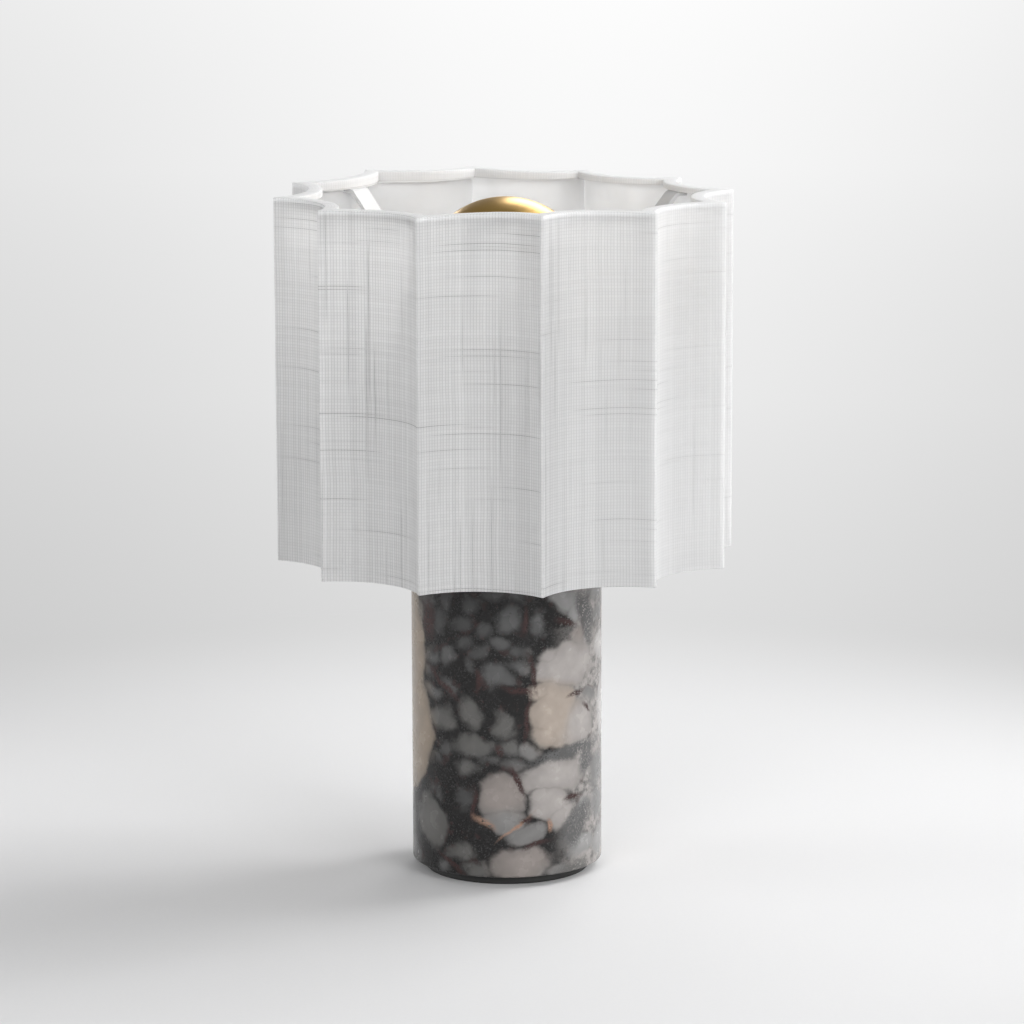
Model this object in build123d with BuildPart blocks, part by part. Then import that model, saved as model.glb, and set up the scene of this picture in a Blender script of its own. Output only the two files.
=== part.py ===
from build123d import *

import os
from math import asin, cos, degrees, radians, sin, sqrt

# Cordless table lamp: a hollow stone column holds the battery, an opal tube above it gives the
# light, a brass dome on top is the switch, and a fluted fabric shade rests on a seat under the dome.
# Millimetres, +Z up, the origin on the column's axis at the surface that the lamp stands on.
# The front of the lamp looks along -Y, and the charging socket is at the back.

# Rubber foot
foot_setback = 4.8
foot_height = 3.8
foot_edge = 0.8

# Stone column, recessed at both ends
stone_radius = 37.5
stone_height = 156.2
stone_rim_wall = 5.5
stone_ledge_width = 5.0
stone_edge = 1.0

# Discs that close the column
plate_thickness = 5.0
cap_thickness = 5.0
gasket_thickness = 1.0
disc_clearance = 0.3

# Tie rods that clamp the stone between the two discs
rod_radius = 2.0
rod_edge_distance = 4.0
rod_angles = (30, 150, 270)
rod_clearance = 0.1
rod_embed = 4.0
rod_tail = 1.5
rod_nut_flats = 7.0
rod_nut_height = 3.2

# Charging board and its socket
board_gap = 2.0
board_thickness = 1.6
board_standoff = 6.0
spacer_wall = 1.5
socket_width = 8.94
socket_height = 3.26
socket_depth = 7.35
socket_wall = 0.3
socket_floor = 1.2
tongue_width = 6.7
tongue_height = 0.7
tongue_length = 4.5

# Lined recess that the charging plug goes into
plug_width = 12.6
plug_height = 6.8
bezel_wall = 1.2
bezel_floor = 1.0
bezel_gap = 0.2
bezel_sink = 0.2
port_clearance = 0.05

# Battery cells and their two holders
cell_radius = 9.2
cell_length = 64.4
cell_edge = 0.6
cell_nub_radius = 3.0
cell_nub_height = 0.6
cell_angles = (90, 210, 330)
cell_clearance = 0.1
contact_radius = 6.0
contact_thickness = 0.4
holder_gap = 1.0
holder_rim = 1.2
holder_floor = 2.0
holder_pocket_depth = 6.4
holder_leg_radius = 3.7
holder_leg_length = 5.6
loom_radius = 2.2
loom_hole_radius = 3.0

# Threaded neck tube between the column and the head
neck_radius = 5.0
neck_bore_radius = 3.6
neck_thread_length = 10.0
neck_tail = 3.0
neck_clearance = 0.05
neck_nut_flats = 14.0
neck_nut_height = 3.0

# Opal light tube
diffuser_setback = 4.5
diffuser_wall = 2.5
diffuser_height = 63.5
diffuser_gasket_lip = 0.4

# Head: a turned brass body with a flange that the shade rests on
seat_width = 3.8
flange_thickness = 2.0
flange_edge = 0.4
web_thickness = 5.0
web_clearance = 0.3
skirt_wall = 2.7
skirt_depth = 5.5
boss_radius = 9.0
boss_depth = 7.5
cup_gap = 2.4
cup_wall = 5.5
cup_height = 13.5

# Light board under the head
led_board_gap = 2.0
led_board_margin = 1.0
led_edge_distance = 6.5
led_count = 12
led_width = 2.8
led_length = 3.5
led_height = 0.7
led_screw_inset = 3.5

# Switch board inside the head
switch_board_gap = 2.0
switch_pad_radius = 3.0
switch_pad_height = 1.5
switch_screw_inset = 5.0
tact_size = 6.0
tact_height = 3.5
tact_button_radius = 1.75
tact_button_height = 1.0

# Small screws
screw_angles = (0, 120, 240)
screw_radius = 1.2
screw_head_radius = 2.2
screw_head_height = 1.6
screw_depth = 4.0
screw_clearance = 0.05

# Brass dome that is pressed to switch the light
dome_radius = 34.4
dome_wall = 1.5
dome_skirt = 3.8
dome_gap = 2.1
dome_edge = 0.3
dome_travel = 1.2
post_boss_radius = 7.0
post_boss_height = 10.0
post_solder_gap = 0.1
stem_radius = 2.5
stem_clearance = 0.06
stem_stop_gap = 0.05

# Guide, spring and clip of the dome
guide_thickness = 3.0
bush_wall = 1.44
bush_flange_width = 2.5
bush_flange_thickness = 1.2
bush_tail = 1.5
clip_thickness = 0.7
clip_reach = 0.4
clip_depth = 0.6
clip_clearance = 0.05
clip_gap = 0.12
clip_slot = 2.4
spring_clearance = 0.4
spring_wire_radius = 0.4
spring_turns = 5.0

# Shade carrier
dome_clearance = 0.8
washer_thickness = 0.8
washer_margin = 0.4
carrier_width = 7.8
carrier_thickness = 1.6
arm_width = 9.5
arm_thickness = 1.5
arm_bend_radius = 2.0
arm_tab_length = 6.0
arm_tip_gap = 0.4
arm_flutes = (3, 7, 11)

# Fluted shade
shade_rise = 41.5
shade_height = 142.0
ridge_radius = 91.2
ridge_round = 0.9
ridge_phase = 8.7
flute_count = 12
flute_depth = 10.5
fabric_thickness = 0.5
panel_thickness = 0.5
panel_gap = 0.4
ring_width = 4.6
ring_thickness = 1.8

# Heights, each from the piece below it
z_plate_top = foot_height + plate_thickness
z_lower_ledge = z_plate_top + gasket_thickness
z_stone_top = foot_height + stone_height
z_cap = z_stone_top - cap_thickness
z_upper_ledge = z_cap - gasket_thickness
z_board = z_plate_top + board_standoff
z_board_top = z_board + board_thickness
z_socket = z_board_top + socket_height / 2
z_holder = z_board_top + holder_leg_length
z_contact = z_holder + holder_floor
z_cell = z_contact + contact_thickness
z_nub = z_cell + cell_length
z_upper_contact = z_nub + cell_nub_height
z_upper_floor = z_upper_contact + contact_thickness
z_holder_top = z_upper_floor + holder_floor
z_diffuser = z_stone_top + gasket_thickness
z_flange = z_diffuser + diffuser_height
z_seat = z_flange + flange_thickness
z_web = z_flange - web_thickness
z_boss = z_web - boss_depth
z_neck_top = z_boss + neck_thread_length
z_switch_board = z_flange + switch_pad_height
z_switch_top = z_switch_board + board_thickness
z_tact_button = z_switch_top + tact_height + tact_button_height
z_guide = z_flange + cup_height
z_guide_top = z_guide + guide_thickness
z_bush_tail = z_guide - bush_tail
z_spring = z_guide_top + bush_flange_thickness
z_dome_foot = z_seat + dome_gap
z_dome_centre = z_dome_foot + dome_skirt
post_crown_radius = dome_radius - dome_wall - post_solder_gap
z_post_top = z_dome_centre + post_crown_radius
z_post_boss = z_post_top - post_boss_height
z_stem = z_tact_button + dome_travel + stem_stop_gap
z_carrier = z_seat + washer_thickness
z_carrier_top = z_carrier + carrier_thickness
z_shade_top = z_seat + shade_rise
z_shade = z_shade_top - shade_height
z_top_ring = z_shade_top - fabric_thickness - ring_thickness
z_bottom_ring = z_shade + fabric_thickness

# Radii that follow from their neighbours, from the column's outside inwards
foot_radius = stone_radius - foot_setback
stone_recess_radius = stone_radius - stone_rim_wall
stone_bore_radius = stone_recess_radius - stone_ledge_width
plate_radius = stone_recess_radius - disc_clearance
gasket_bore_radius = stone_bore_radius + disc_clearance
rod_hole_radius = rod_radius + rod_clearance
pocket_radius = cell_radius + cell_clearance
holder_radius = stone_bore_radius - holder_gap
cell_circle_radius = holder_radius - holder_rim - pocket_radius
rod_circle_radius = holder_radius - rod_edge_distance
board_radius = stone_bore_radius - board_gap
neck_hole_radius = neck_radius + neck_clearance
diffuser_radius = stone_radius - diffuser_setback
web_radius = diffuser_radius - diffuser_wall - web_clearance
skirt_inner_radius = web_radius - skirt_wall
led_board_radius = skirt_inner_radius - led_board_margin
led_board_inner_radius = boss_radius + led_board_gap
led_circle_radius = led_board_radius - led_edge_distance
led_screw_circle_radius = led_board_inner_radius + led_screw_inset
led_screw_angles = [angle + 180 / led_count for angle in screw_angles]
screw_hole_radius = screw_radius + screw_clearance
dome_inner_radius = dome_radius - dome_wall
cup_radius = dome_inner_radius - cup_gap
switch_board_radius = cup_radius - cup_wall - switch_board_gap
switch_pad_circle_radius = switch_board_radius - switch_screw_inset
guide_screw_circle_radius = cup_radius - cup_wall / 2
bush_radius = stem_radius + stem_clearance + bush_wall
bush_flange_radius = bush_radius + bush_flange_width
clip_radius = bush_radius + clip_reach
spring_radius = bush_radius + spring_clearance
carrier_bore_radius = dome_radius + dome_clearance
carrier_radius = carrier_bore_radius + carrier_width
flange_radius = carrier_bore_radius + seat_width

# Flutes: each is an arc about a centre that stands outside the shade
flute_step = 360 / flute_count
half_step = radians(flute_step / 2)
half_chord = ridge_radius * sin(half_step)
flute_radius = (half_chord**2 + flute_depth**2) / (2 * flute_depth)
flute_centre_radius = ridge_radius * cos(half_step) - flute_depth + flute_radius
front_angle = ridge_phase - 90

UP = (Align.CENTER, Align.CENTER, Align.MIN)
DOWN = (Align.CENTER, Align.CENTER, Align.MAX)
HALF_SECTION = Plane.XZ


def save(piece, label):
    """Names a finished piece and writes it to its own file."""
    piece.part.label = label
    export_step(piece.part, f"parts/{label}.step")


def polar(radius, angle, height=0.0):
    """A point at a radius and an angle in degrees about the lamp's axis."""
    return (radius * cos(radians(angle)), radius * sin(radians(angle)), height)


def around(radius, angles, height):
    """Places on a circle about the lamp's axis, all facing up."""
    return Locations(*[polar(radius, angle, height) for angle in angles])


def tube(outer, inner, bottom, top):
    """A plain round tube on the lamp's axis."""
    with BuildPart(Plane.XY.offset(bottom)) as piece:
        Cylinder(outer, top - bottom, align=UP)
        Cylinder(inner, top - bottom, align=UP, mode=Mode.SUBTRACT)
    return piece


def ridge_reach(inset):
    """How far from the axis two neighbouring flutes meet, that far inside the outer face."""
    across = flute_centre_radius * sin(half_step)
    return flute_centre_radius * cos(half_step) - sqrt((flute_radius + inset) ** 2 - across**2)


def flute_reach(inset):
    """How far from the axis a flute is at its deepest, that far inside the outer face."""
    return flute_centre_radius - flute_radius - inset


def flute_half_angle(inset):
    """Half the angle that a flute's arc turns through, about its own centre."""
    across = flute_centre_radius * sin(half_step)
    return degrees(asin(across / (flute_radius + inset)) - half_step)


def scallop(inset):
    """The shade's outline, drawn in by an inset, with its ridges rounded about the same centres."""
    with BuildSketch() as outline:
        with BuildLine():
            for flute in range(flute_count):
                start = front_angle + flute * flute_step
                ThreePointArc(
                    polar(ridge_reach(inset), start),
                    polar(flute_reach(inset), start + flute_step / 2),
                    polar(ridge_reach(inset), start + flute_step),
                )
        make_face()
        if inset < ridge_round:
            fillet(outline.vertices(), ridge_round - inset)
    return outline.sketch


def scallop_band(outer_inset, inner_inset, bottom, top):
    """A fluted band between two insets of the shade's outline."""
    with BuildPart() as piece:
        with BuildSketch(Plane.XY.offset(bottom)):
            add(scallop(outer_inset))
            add(scallop(inner_inset), mode=Mode.SUBTRACT)
        extrude(amount=top - bottom)
    return piece


def hex_nuts(flats, height, hole_radius, levels, places):
    """Hexagon nuts at the given places in plan, one at each of the levels."""
    with BuildPart() as piece:
        with BuildSketch(*[Plane.XY.offset(level) for level in levels]):
            with Locations(*places):
                RegularPolygon(flats / 2, 6, major_radius=False)
                Circle(hole_radius, mode=Mode.SUBTRACT)
        extrude(amount=height)
    return piece


def pan_screws(places, reach, head_up):
    """Pan head screws whose heads seat on the given places."""
    head_side, shank_side = (UP, DOWN) if head_up else (DOWN, UP)
    with BuildPart() as piece:
        with places:
            Cylinder(screw_head_radius, screw_head_height, align=head_side)
            Cylinder(screw_radius, reach, align=shank_side)
    return piece


os.makedirs("parts", exist_ok=True)

# Foot and base plate
with BuildPart() as foot_pad:
    Cylinder(foot_radius, foot_height, align=UP)
    chamfer(foot_pad.faces().sort_by(Axis.Z)[0].edges(), foot_edge)
save(foot_pad, "foot_pad")

with BuildPart(Plane.XY.offset(foot_height)) as base_plate:
    Cylinder(plate_radius, plate_thickness, align=UP)
    with around(rod_circle_radius, rod_angles, plate_thickness):
        Cylinder(rod_hole_radius, rod_embed, align=DOWN, mode=Mode.SUBTRACT)
save(base_plate, "base_plate")

save(tube(plate_radius, gasket_bore_radius, z_plate_top, z_lower_ledge), "base_gasket")
save(tube(plate_radius, gasket_bore_radius, z_upper_ledge, z_cap), "cap_gasket")

# Stone column: bore, a recess at each end and the slot for the charging plug
port_plane = Plane(origin=(0, 0, z_socket), x_dir=(1, 0, 0), z_dir=(0, 1, 0))
bezel_width = plug_width + 2 * bezel_wall
bezel_height = plug_height + 2 * bezel_wall

with BuildPart(Plane.XY.offset(foot_height)) as stone_base:
    Cylinder(stone_radius, stone_height, align=UP)
    fillet(stone_base.edges().filter_by(GeomType.CIRCLE), stone_edge)
    Cylinder(stone_bore_radius, stone_height, align=UP, mode=Mode.SUBTRACT)
    Cylinder(
        stone_recess_radius,
        plate_thickness + gasket_thickness,
        align=UP,
        mode=Mode.SUBTRACT,
    )
    with Locations((0, 0, stone_height)):
        Cylinder(
            stone_recess_radius,
            cap_thickness + gasket_thickness,
            align=DOWN,
            mode=Mode.SUBTRACT,
        )
    with BuildSketch(port_plane):
        SlotOverall(bezel_width + 2 * port_clearance, bezel_height + 2 * port_clearance)
    extrude(amount=stone_radius, mode=Mode.SUBTRACT)
save(stone_base, "stone_base")

# Column cap, with the neck tube's hole and the tie rods' holes
with BuildPart(Plane.XY.offset(z_cap)) as column_cap:
    Cylinder(plate_radius, cap_thickness, align=UP)
    Cylinder(neck_hole_radius, cap_thickness, align=UP, mode=Mode.SUBTRACT)
    with around(rod_circle_radius, rod_angles, 0):
        Cylinder(rod_hole_radius, cap_thickness, align=UP, mode=Mode.SUBTRACT)
save(column_cap, "column_cap")

# Tie rods and the nuts above the upper cell holder and above the cap
z_rod = z_plate_top - rod_embed
z_rod_top = z_stone_top + rod_nut_height + rod_tail
with BuildPart() as tie_rods:
    with around(rod_circle_radius, rod_angles, z_rod):
        Cylinder(rod_radius, z_rod_top - z_rod, align=UP)
save(tie_rods, "tie_rods")

tie_nuts = hex_nuts(
    rod_nut_flats,
    rod_nut_height,
    rod_hole_radius,
    levels=(z_holder_top, z_stone_top),
    places=[polar(rod_circle_radius, angle) for angle in rod_angles],
)
save(tie_nuts, "tie_nuts")

# Charging board on spacers round the tie rods
with BuildPart() as board_spacers:
    with around(rod_circle_radius, rod_angles, z_plate_top):
        Cylinder(rod_hole_radius + spacer_wall, board_standoff, align=UP)
        Cylinder(rod_hole_radius, board_standoff, align=UP, mode=Mode.SUBTRACT)
save(board_spacers, "board_spacers")

with BuildPart(Plane.XY.offset(z_board)) as charge_board:
    Cylinder(board_radius, board_thickness, align=UP)
    with around(rod_circle_radius, rod_angles, 0):
        Cylinder(rod_hole_radius, board_thickness, align=UP, mode=Mode.SUBTRACT)
save(charge_board, "charge_board")

# Charging socket: a slot-shaped shell with a floor and a tongue, its mouth in the bezel's floor
y_bezel = stone_bore_radius + bezel_gap
y_mouth = y_bezel + bezel_floor
y_socket = y_mouth - socket_depth
with BuildPart() as usb_receptacle:
    with BuildSketch(port_plane.offset(y_socket)):
        SlotOverall(socket_width, socket_height)
    extrude(amount=socket_depth)
    with BuildSketch(port_plane.offset(y_socket + socket_floor)):
        SlotOverall(socket_width - 2 * socket_wall, socket_height - 2 * socket_wall)
    extrude(amount=socket_depth - socket_floor, mode=Mode.SUBTRACT)
    with BuildSketch(port_plane.offset(y_socket + socket_floor)):
        Rectangle(tongue_width, tongue_height)
    extrude(amount=tongue_length)
save(usb_receptacle, "usb_receptacle")

with BuildPart() as port_bezel:
    with BuildSketch(port_plane.offset(y_bezel)):
        SlotOverall(bezel_width, bezel_height)
    extrude(amount=stone_radius - y_bezel)
    with BuildSketch(port_plane.offset(y_mouth)):
        SlotOverall(plug_width, plug_height)
    extrude(amount=stone_radius, mode=Mode.SUBTRACT)
    with BuildSketch(port_plane.offset(y_bezel)):
        SlotOverall(socket_width + 2 * port_clearance, socket_height + 2 * port_clearance)
    extrude(amount=bezel_floor, mode=Mode.SUBTRACT)
    Cylinder(stone_radius - bezel_sink, stone_height, align=UP, mode=Mode.INTERSECT)
save(port_bezel, "port_bezel")

# Battery: cells standing in pockets, with a contact disc at each end
with BuildPart(Plane.XY.offset(z_holder)) as cell_holder_lower:
    Cylinder(holder_radius, holder_floor + holder_pocket_depth, align=UP)
    with around(rod_circle_radius, rod_angles, 0):
        Cylinder(holder_leg_radius, holder_leg_length, align=DOWN)
    with around(cell_circle_radius, cell_angles, holder_floor):
        Cylinder(pocket_radius, holder_pocket_depth, align=UP, mode=Mode.SUBTRACT)
    with around(rod_circle_radius, rod_angles, 0):
        Cylinder(rod_hole_radius, 2 * stone_height, mode=Mode.SUBTRACT)
    Cylinder(loom_hole_radius, 2 * stone_height, mode=Mode.SUBTRACT)
save(cell_holder_lower, "cell_holder_lower")

with BuildPart(Plane.XY.offset(z_holder_top)) as cell_holder_upper:
    Cylinder(holder_radius, holder_floor + holder_pocket_depth, align=DOWN)
    with around(cell_circle_radius, cell_angles, -holder_floor):
        Cylinder(pocket_radius, holder_pocket_depth, align=DOWN, mode=Mode.SUBTRACT)
    with around(rod_circle_radius, rod_angles, 0):
        Cylinder(rod_hole_radius, 2 * stone_height, mode=Mode.SUBTRACT)
    Cylinder(loom_hole_radius, 2 * stone_height, mode=Mode.SUBTRACT)
save(cell_holder_upper, "cell_holder_upper")

for number, angle in enumerate(cell_angles, start=1):
    with BuildPart() as cell:
        with around(cell_circle_radius, [angle], z_cell):
            Cylinder(cell_radius, cell_length, align=UP)
        fillet(cell.edges().filter_by(GeomType.CIRCLE), cell_edge)
        with around(cell_circle_radius, [angle], z_nub):
            Cylinder(cell_nub_radius, cell_nub_height, align=UP)
    save(cell, f"cell_{number}")

with BuildPart() as cell_contacts:
    for height in (z_contact, z_upper_contact):
        with around(cell_circle_radius, cell_angles, height):
            Cylinder(contact_radius, contact_thickness, align=UP)
save(cell_contacts, "cell_contacts")

# Neck tube, its two lock nuts and the wiring that runs through it
z_neck = z_cap - neck_nut_height - neck_tail
save(tube(neck_radius, neck_bore_radius, z_neck, z_neck_top), "neck_tube")

neck_nuts = hex_nuts(
    neck_nut_flats,
    neck_nut_height,
    neck_hole_radius,
    levels=(z_cap - neck_nut_height, z_stone_top),
    places=[(0, 0)],
)
save(neck_nuts, "neck_nuts")

with BuildPart(Plane.XY.offset(z_board_top)) as wire_loom:
    Cylinder(loom_radius, z_switch_board - z_board_top, align=UP)
save(wire_loom, "wire_loom")

# Light tube on its seal
gasket_outer = diffuser_radius + diffuser_gasket_lip
gasket_inner = diffuser_radius - diffuser_wall - diffuser_gasket_lip
save(tube(gasket_outer, gasket_inner, z_stone_top, z_diffuser), "diffuser_gasket")
save(tube(diffuser_radius, diffuser_radius - diffuser_wall, z_diffuser, z_flange), "diffuser")

# Head body: boss on the neck tube, skirt inside the light tube, flange and cup
led_screw_places = around(led_screw_circle_radius, led_screw_angles, z_web - board_thickness)
switch_screw_places = around(switch_pad_circle_radius, screw_angles, z_switch_top)
with BuildPart() as head_body:
    with BuildSketch(HALF_SECTION):
        with BuildLine():
            Polyline(
                (0, z_boss),
                (boss_radius, z_boss),
                (boss_radius, z_web),
                (skirt_inner_radius, z_web),
                (skirt_inner_radius, z_web - skirt_depth),
                (web_radius, z_web - skirt_depth),
                (web_radius, z_flange),
                (flange_radius, z_flange),
                (flange_radius, z_seat),
                (cup_radius, z_seat),
                (cup_radius, z_guide),
                (cup_radius - cup_wall, z_guide),
                (cup_radius - cup_wall, z_flange),
                (0, z_flange),
                close=True,
            )
        make_face()
    revolve(axis=Axis.Z)
    fillet(head_body.edges().filter_by(GeomType.CIRCLE).sort_by(SortBy.RADIUS)[-2:], flange_edge)
    with around(switch_pad_circle_radius, screw_angles, z_flange):
        Cylinder(switch_pad_radius, switch_pad_height, align=UP)
    with Locations((0, 0, z_boss)):
        Cylinder(neck_hole_radius, neck_thread_length, align=UP, mode=Mode.SUBTRACT)
    with Locations((0, 0, z_neck_top)):
        Cylinder(loom_hole_radius, z_flange - z_neck_top, align=UP, mode=Mode.SUBTRACT)
    with around(led_screw_circle_radius, led_screw_angles, z_web):
        Cylinder(screw_hole_radius, screw_depth, align=UP, mode=Mode.SUBTRACT)
    with around(switch_pad_circle_radius, screw_angles, z_switch_board):
        Cylinder(screw_hole_radius, screw_depth, align=DOWN, mode=Mode.SUBTRACT)
    with around(guide_screw_circle_radius, screw_angles, z_guide):
        Cylinder(screw_hole_radius, screw_depth, align=DOWN, mode=Mode.SUBTRACT)
save(head_body, "head_body")

# Light board with its emitters, facing down into the light tube
with BuildPart(Plane.XY.offset(z_web)) as led_board:
    Cylinder(led_board_radius, board_thickness, align=DOWN)
    Cylinder(led_board_inner_radius, board_thickness, align=DOWN, mode=Mode.SUBTRACT)
    with around(led_screw_circle_radius, led_screw_angles, 0):
        Cylinder(screw_hole_radius, board_thickness, align=DOWN, mode=Mode.SUBTRACT)
save(led_board, "led_board")

with BuildPart(Plane.XY.offset(z_web - board_thickness)) as led_emitters:
    with PolarLocations(led_circle_radius, led_count):
        Box(led_width, led_length, led_height, align=DOWN)
save(led_emitters, "led_emitters")

led_screw_reach = board_thickness + screw_depth - screw_clearance
save(pan_screws(led_screw_places, led_screw_reach, head_up=False), "led_screws")

# Switch board with its push switch
with BuildPart(Plane.XY.offset(z_switch_board)) as switch_board:
    Cylinder(switch_board_radius, board_thickness, align=UP)
    with around(switch_pad_circle_radius, screw_angles, 0):
        Cylinder(screw_hole_radius, board_thickness, align=UP, mode=Mode.SUBTRACT)
save(switch_board, "switch_board")

with BuildPart(Plane.XY.offset(z_switch_top)) as tact_switch:
    Box(tact_size, tact_size, tact_height, align=UP)
    Cylinder(tact_button_radius, tact_height + tact_button_height, align=UP)
save(tact_switch, "tact_switch")

save(pan_screws(switch_screw_places, led_screw_reach, head_up=True), "switch_screws")

# Guide plate over the cup, with a flanged bush and countersunk screws
guide_screw_places = around(guide_screw_circle_radius, screw_angles, z_guide_top)
with BuildPart(Plane.XY.offset(z_guide)) as guide_plate:
    Cylinder(cup_radius, guide_thickness, align=UP)
    Cylinder(bush_radius, guide_thickness, align=UP, mode=Mode.SUBTRACT)
    with around(guide_screw_circle_radius, screw_angles, guide_thickness):
        CounterSinkHole(screw_hole_radius, screw_head_radius + screw_clearance)
save(guide_plate, "guide_plate")

with BuildPart() as guide_screws:
    with guide_screw_places:
        Cylinder(screw_radius, guide_thickness + screw_depth - screw_clearance, align=DOWN)
        Cone(
            screw_radius,
            screw_head_radius,
            screw_head_radius - screw_radius,
            align=DOWN,
        )
save(guide_screws, "guide_screws")

with BuildPart(Plane.XY.offset(z_bush_tail)) as guide_bush:
    Cylinder(bush_radius, z_guide_top - z_bush_tail, align=UP)
    with Locations((0, 0, z_guide_top - z_bush_tail)):
        Cylinder(bush_flange_radius, bush_flange_thickness, align=UP)
    Cylinder(stem_radius + stem_clearance, cup_height, align=UP, mode=Mode.SUBTRACT)
save(guide_bush, "guide_bush")

# Brass dome: a half sphere on a short skirt
with BuildPart() as dome_cap:
    with BuildSketch(HALF_SECTION):
        with BuildLine():
            CenterArc((0, z_dome_centre), dome_radius, 0, 90)
            Line((0, z_dome_centre + dome_radius), (0, z_dome_centre + dome_inner_radius))
            CenterArc((0, z_dome_centre), dome_inner_radius, 0, 90)
            Polyline(
                (dome_inner_radius, z_dome_centre),
                (dome_inner_radius, z_dome_foot),
                (dome_radius, z_dome_foot),
                (dome_radius, z_dome_centre),
            )
        make_face()
    revolve(axis=Axis.Z)
    fillet(dome_cap.faces().sort_by(Axis.Z)[0].edges(), dome_edge)
save(dome_cap, "dome_cap")

# Post under the dome: a boss against its inside and a stem with a groove for the clip
z_clip_top = z_bush_tail - clip_gap
z_groove = z_clip_top - clip_thickness - clip_clearance
groove_radius = stem_radius - clip_depth
z_boss_shoulder = z_dome_centre + sqrt(post_crown_radius**2 - post_boss_radius**2)
with BuildPart() as dome_post:
    with BuildSketch(HALF_SECTION):
        with BuildLine():
            Polyline(
                (0, z_post_top),
                (0, z_stem),
                (stem_radius, z_stem),
                (stem_radius, z_groove),
                (groove_radius, z_groove),
                (groove_radius, z_clip_top + clip_clearance),
                (stem_radius, z_clip_top + clip_clearance),
                (stem_radius, z_post_boss),
                (post_boss_radius, z_post_boss),
                (post_boss_radius, z_boss_shoulder),
            )
            RadiusArc(
                (post_boss_radius, z_boss_shoulder),
                (0, z_post_top),
                -post_crown_radius,
            )
        make_face()
    revolve(axis=Axis.Z)
save(dome_post, "dome_post")

with BuildPart(Plane.XY.offset(z_clip_top - clip_thickness)) as retaining_clip:
    Cylinder(clip_radius, clip_thickness, align=UP)
    Cylinder(groove_radius + clip_clearance, clip_thickness, align=UP, mode=Mode.SUBTRACT)
    with Locations((clip_radius, 0, 0)):
        Box(2 * clip_radius, clip_slot, clip_thickness, align=UP, mode=Mode.SUBTRACT)
save(retaining_clip, "retaining_clip")

# Return spring round the stem, from the bush's flange to the post's boss
spring_height = z_post_boss - z_spring - 2 * spring_wire_radius
spring_pitch = spring_height / spring_turns
print("spring: gap between turns", round(spring_pitch - 2 * spring_wire_radius, 2), "mm")
with BuildPart() as return_spring:
    with BuildLine() as coil:
        Helix(
            spring_pitch,
            spring_height,
            spring_radius,
            center=(0, 0, z_spring + spring_wire_radius),
        )
    with BuildSketch(Plane(origin=coil.line @ 0, z_dir=coil.line % 0)):
        Circle(spring_wire_radius)
    sweep(path=coil.line, is_frenet=True)
save(return_spring, "return_spring")

# Slip washer and carrier ring that rest on the head's flange
save(
    tube(flange_radius - washer_margin, carrier_bore_radius, z_seat, z_carrier),
    "slip_washer",
)
save(
    tube(carrier_radius, carrier_bore_radius, z_carrier, z_carrier_top),
    "carrier_ring",
)

# Carrier arms: bent strips from the ring up to the deepest line of every fourth flute
arm_tip_radius = flute_reach(fabric_thickness + panel_thickness) - arm_tip_gap
arm_shoulder_radius = flute_reach(fabric_thickness + ring_width)
for number, flute in enumerate(arm_flutes, start=1):
    arm_angle = front_angle + (flute + 0.5) * flute_step
    arm_plane = Plane(
        origin=(0, 0, 0),
        x_dir=polar(1, arm_angle),
        z_dir=polar(1, arm_angle - 90),
    )
    with BuildPart() as carrier_arm:
        with BuildSketch(arm_plane):
            with BuildLine():
                FilletPolyline(
                    (carrier_radius - arm_tab_length, z_carrier_top),
                    (carrier_radius, z_carrier_top),
                    (arm_shoulder_radius, z_top_ring - arm_thickness),
                    (arm_tip_radius, z_top_ring - arm_thickness),
                    radius=arm_bend_radius,
                )
                offset(amount=arm_thickness, side=Side.LEFT)
            make_face()
        extrude(amount=arm_width / 2, both=True)
    save(carrier_arm, f"carrier_arm_{number}")

# Shade: flat fluted rings at both rims, fabric turned in over them, and stiff backing panels
ring_inset = fabric_thickness + ring_width
hem_inset = ring_inset + fabric_thickness
z_top_ring_top = z_top_ring + ring_thickness
z_bottom_ring_top = z_bottom_ring + ring_thickness
save(scallop_band(fabric_thickness, ring_inset, z_top_ring, z_top_ring_top), "top_ring")
save(
    scallop_band(fabric_thickness, ring_inset, z_bottom_ring, z_bottom_ring_top),
    "bottom_ring",
)

with BuildPart() as top_binding:
    with BuildSketch(Plane.XY.offset(z_top_ring_top)):
        add(scallop(fabric_thickness))
        add(scallop(hem_inset), mode=Mode.SUBTRACT)
    extrude(amount=fabric_thickness)
    with BuildSketch(Plane.XY.offset(z_top_ring)):
        add(scallop(ring_inset))
        add(scallop(hem_inset), mode=Mode.SUBTRACT)
    extrude(amount=ring_thickness)
save(top_binding, "top_binding")

with BuildPart() as bottom_binding:
    with BuildSketch(Plane.XY.offset(z_shade)):
        add(scallop(fabric_thickness))
        add(scallop(hem_inset), mode=Mode.SUBTRACT)
    extrude(amount=fabric_thickness)
    with BuildSketch(Plane.XY.offset(z_bottom_ring)):
        add(scallop(ring_inset))
        add(scallop(hem_inset), mode=Mode.SUBTRACT)
    extrude(amount=ring_thickness)
save(bottom_binding, "bottom_binding")

save(scallop_band(0, fabric_thickness, z_shade, z_shade_top), "shade_fabric")

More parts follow.
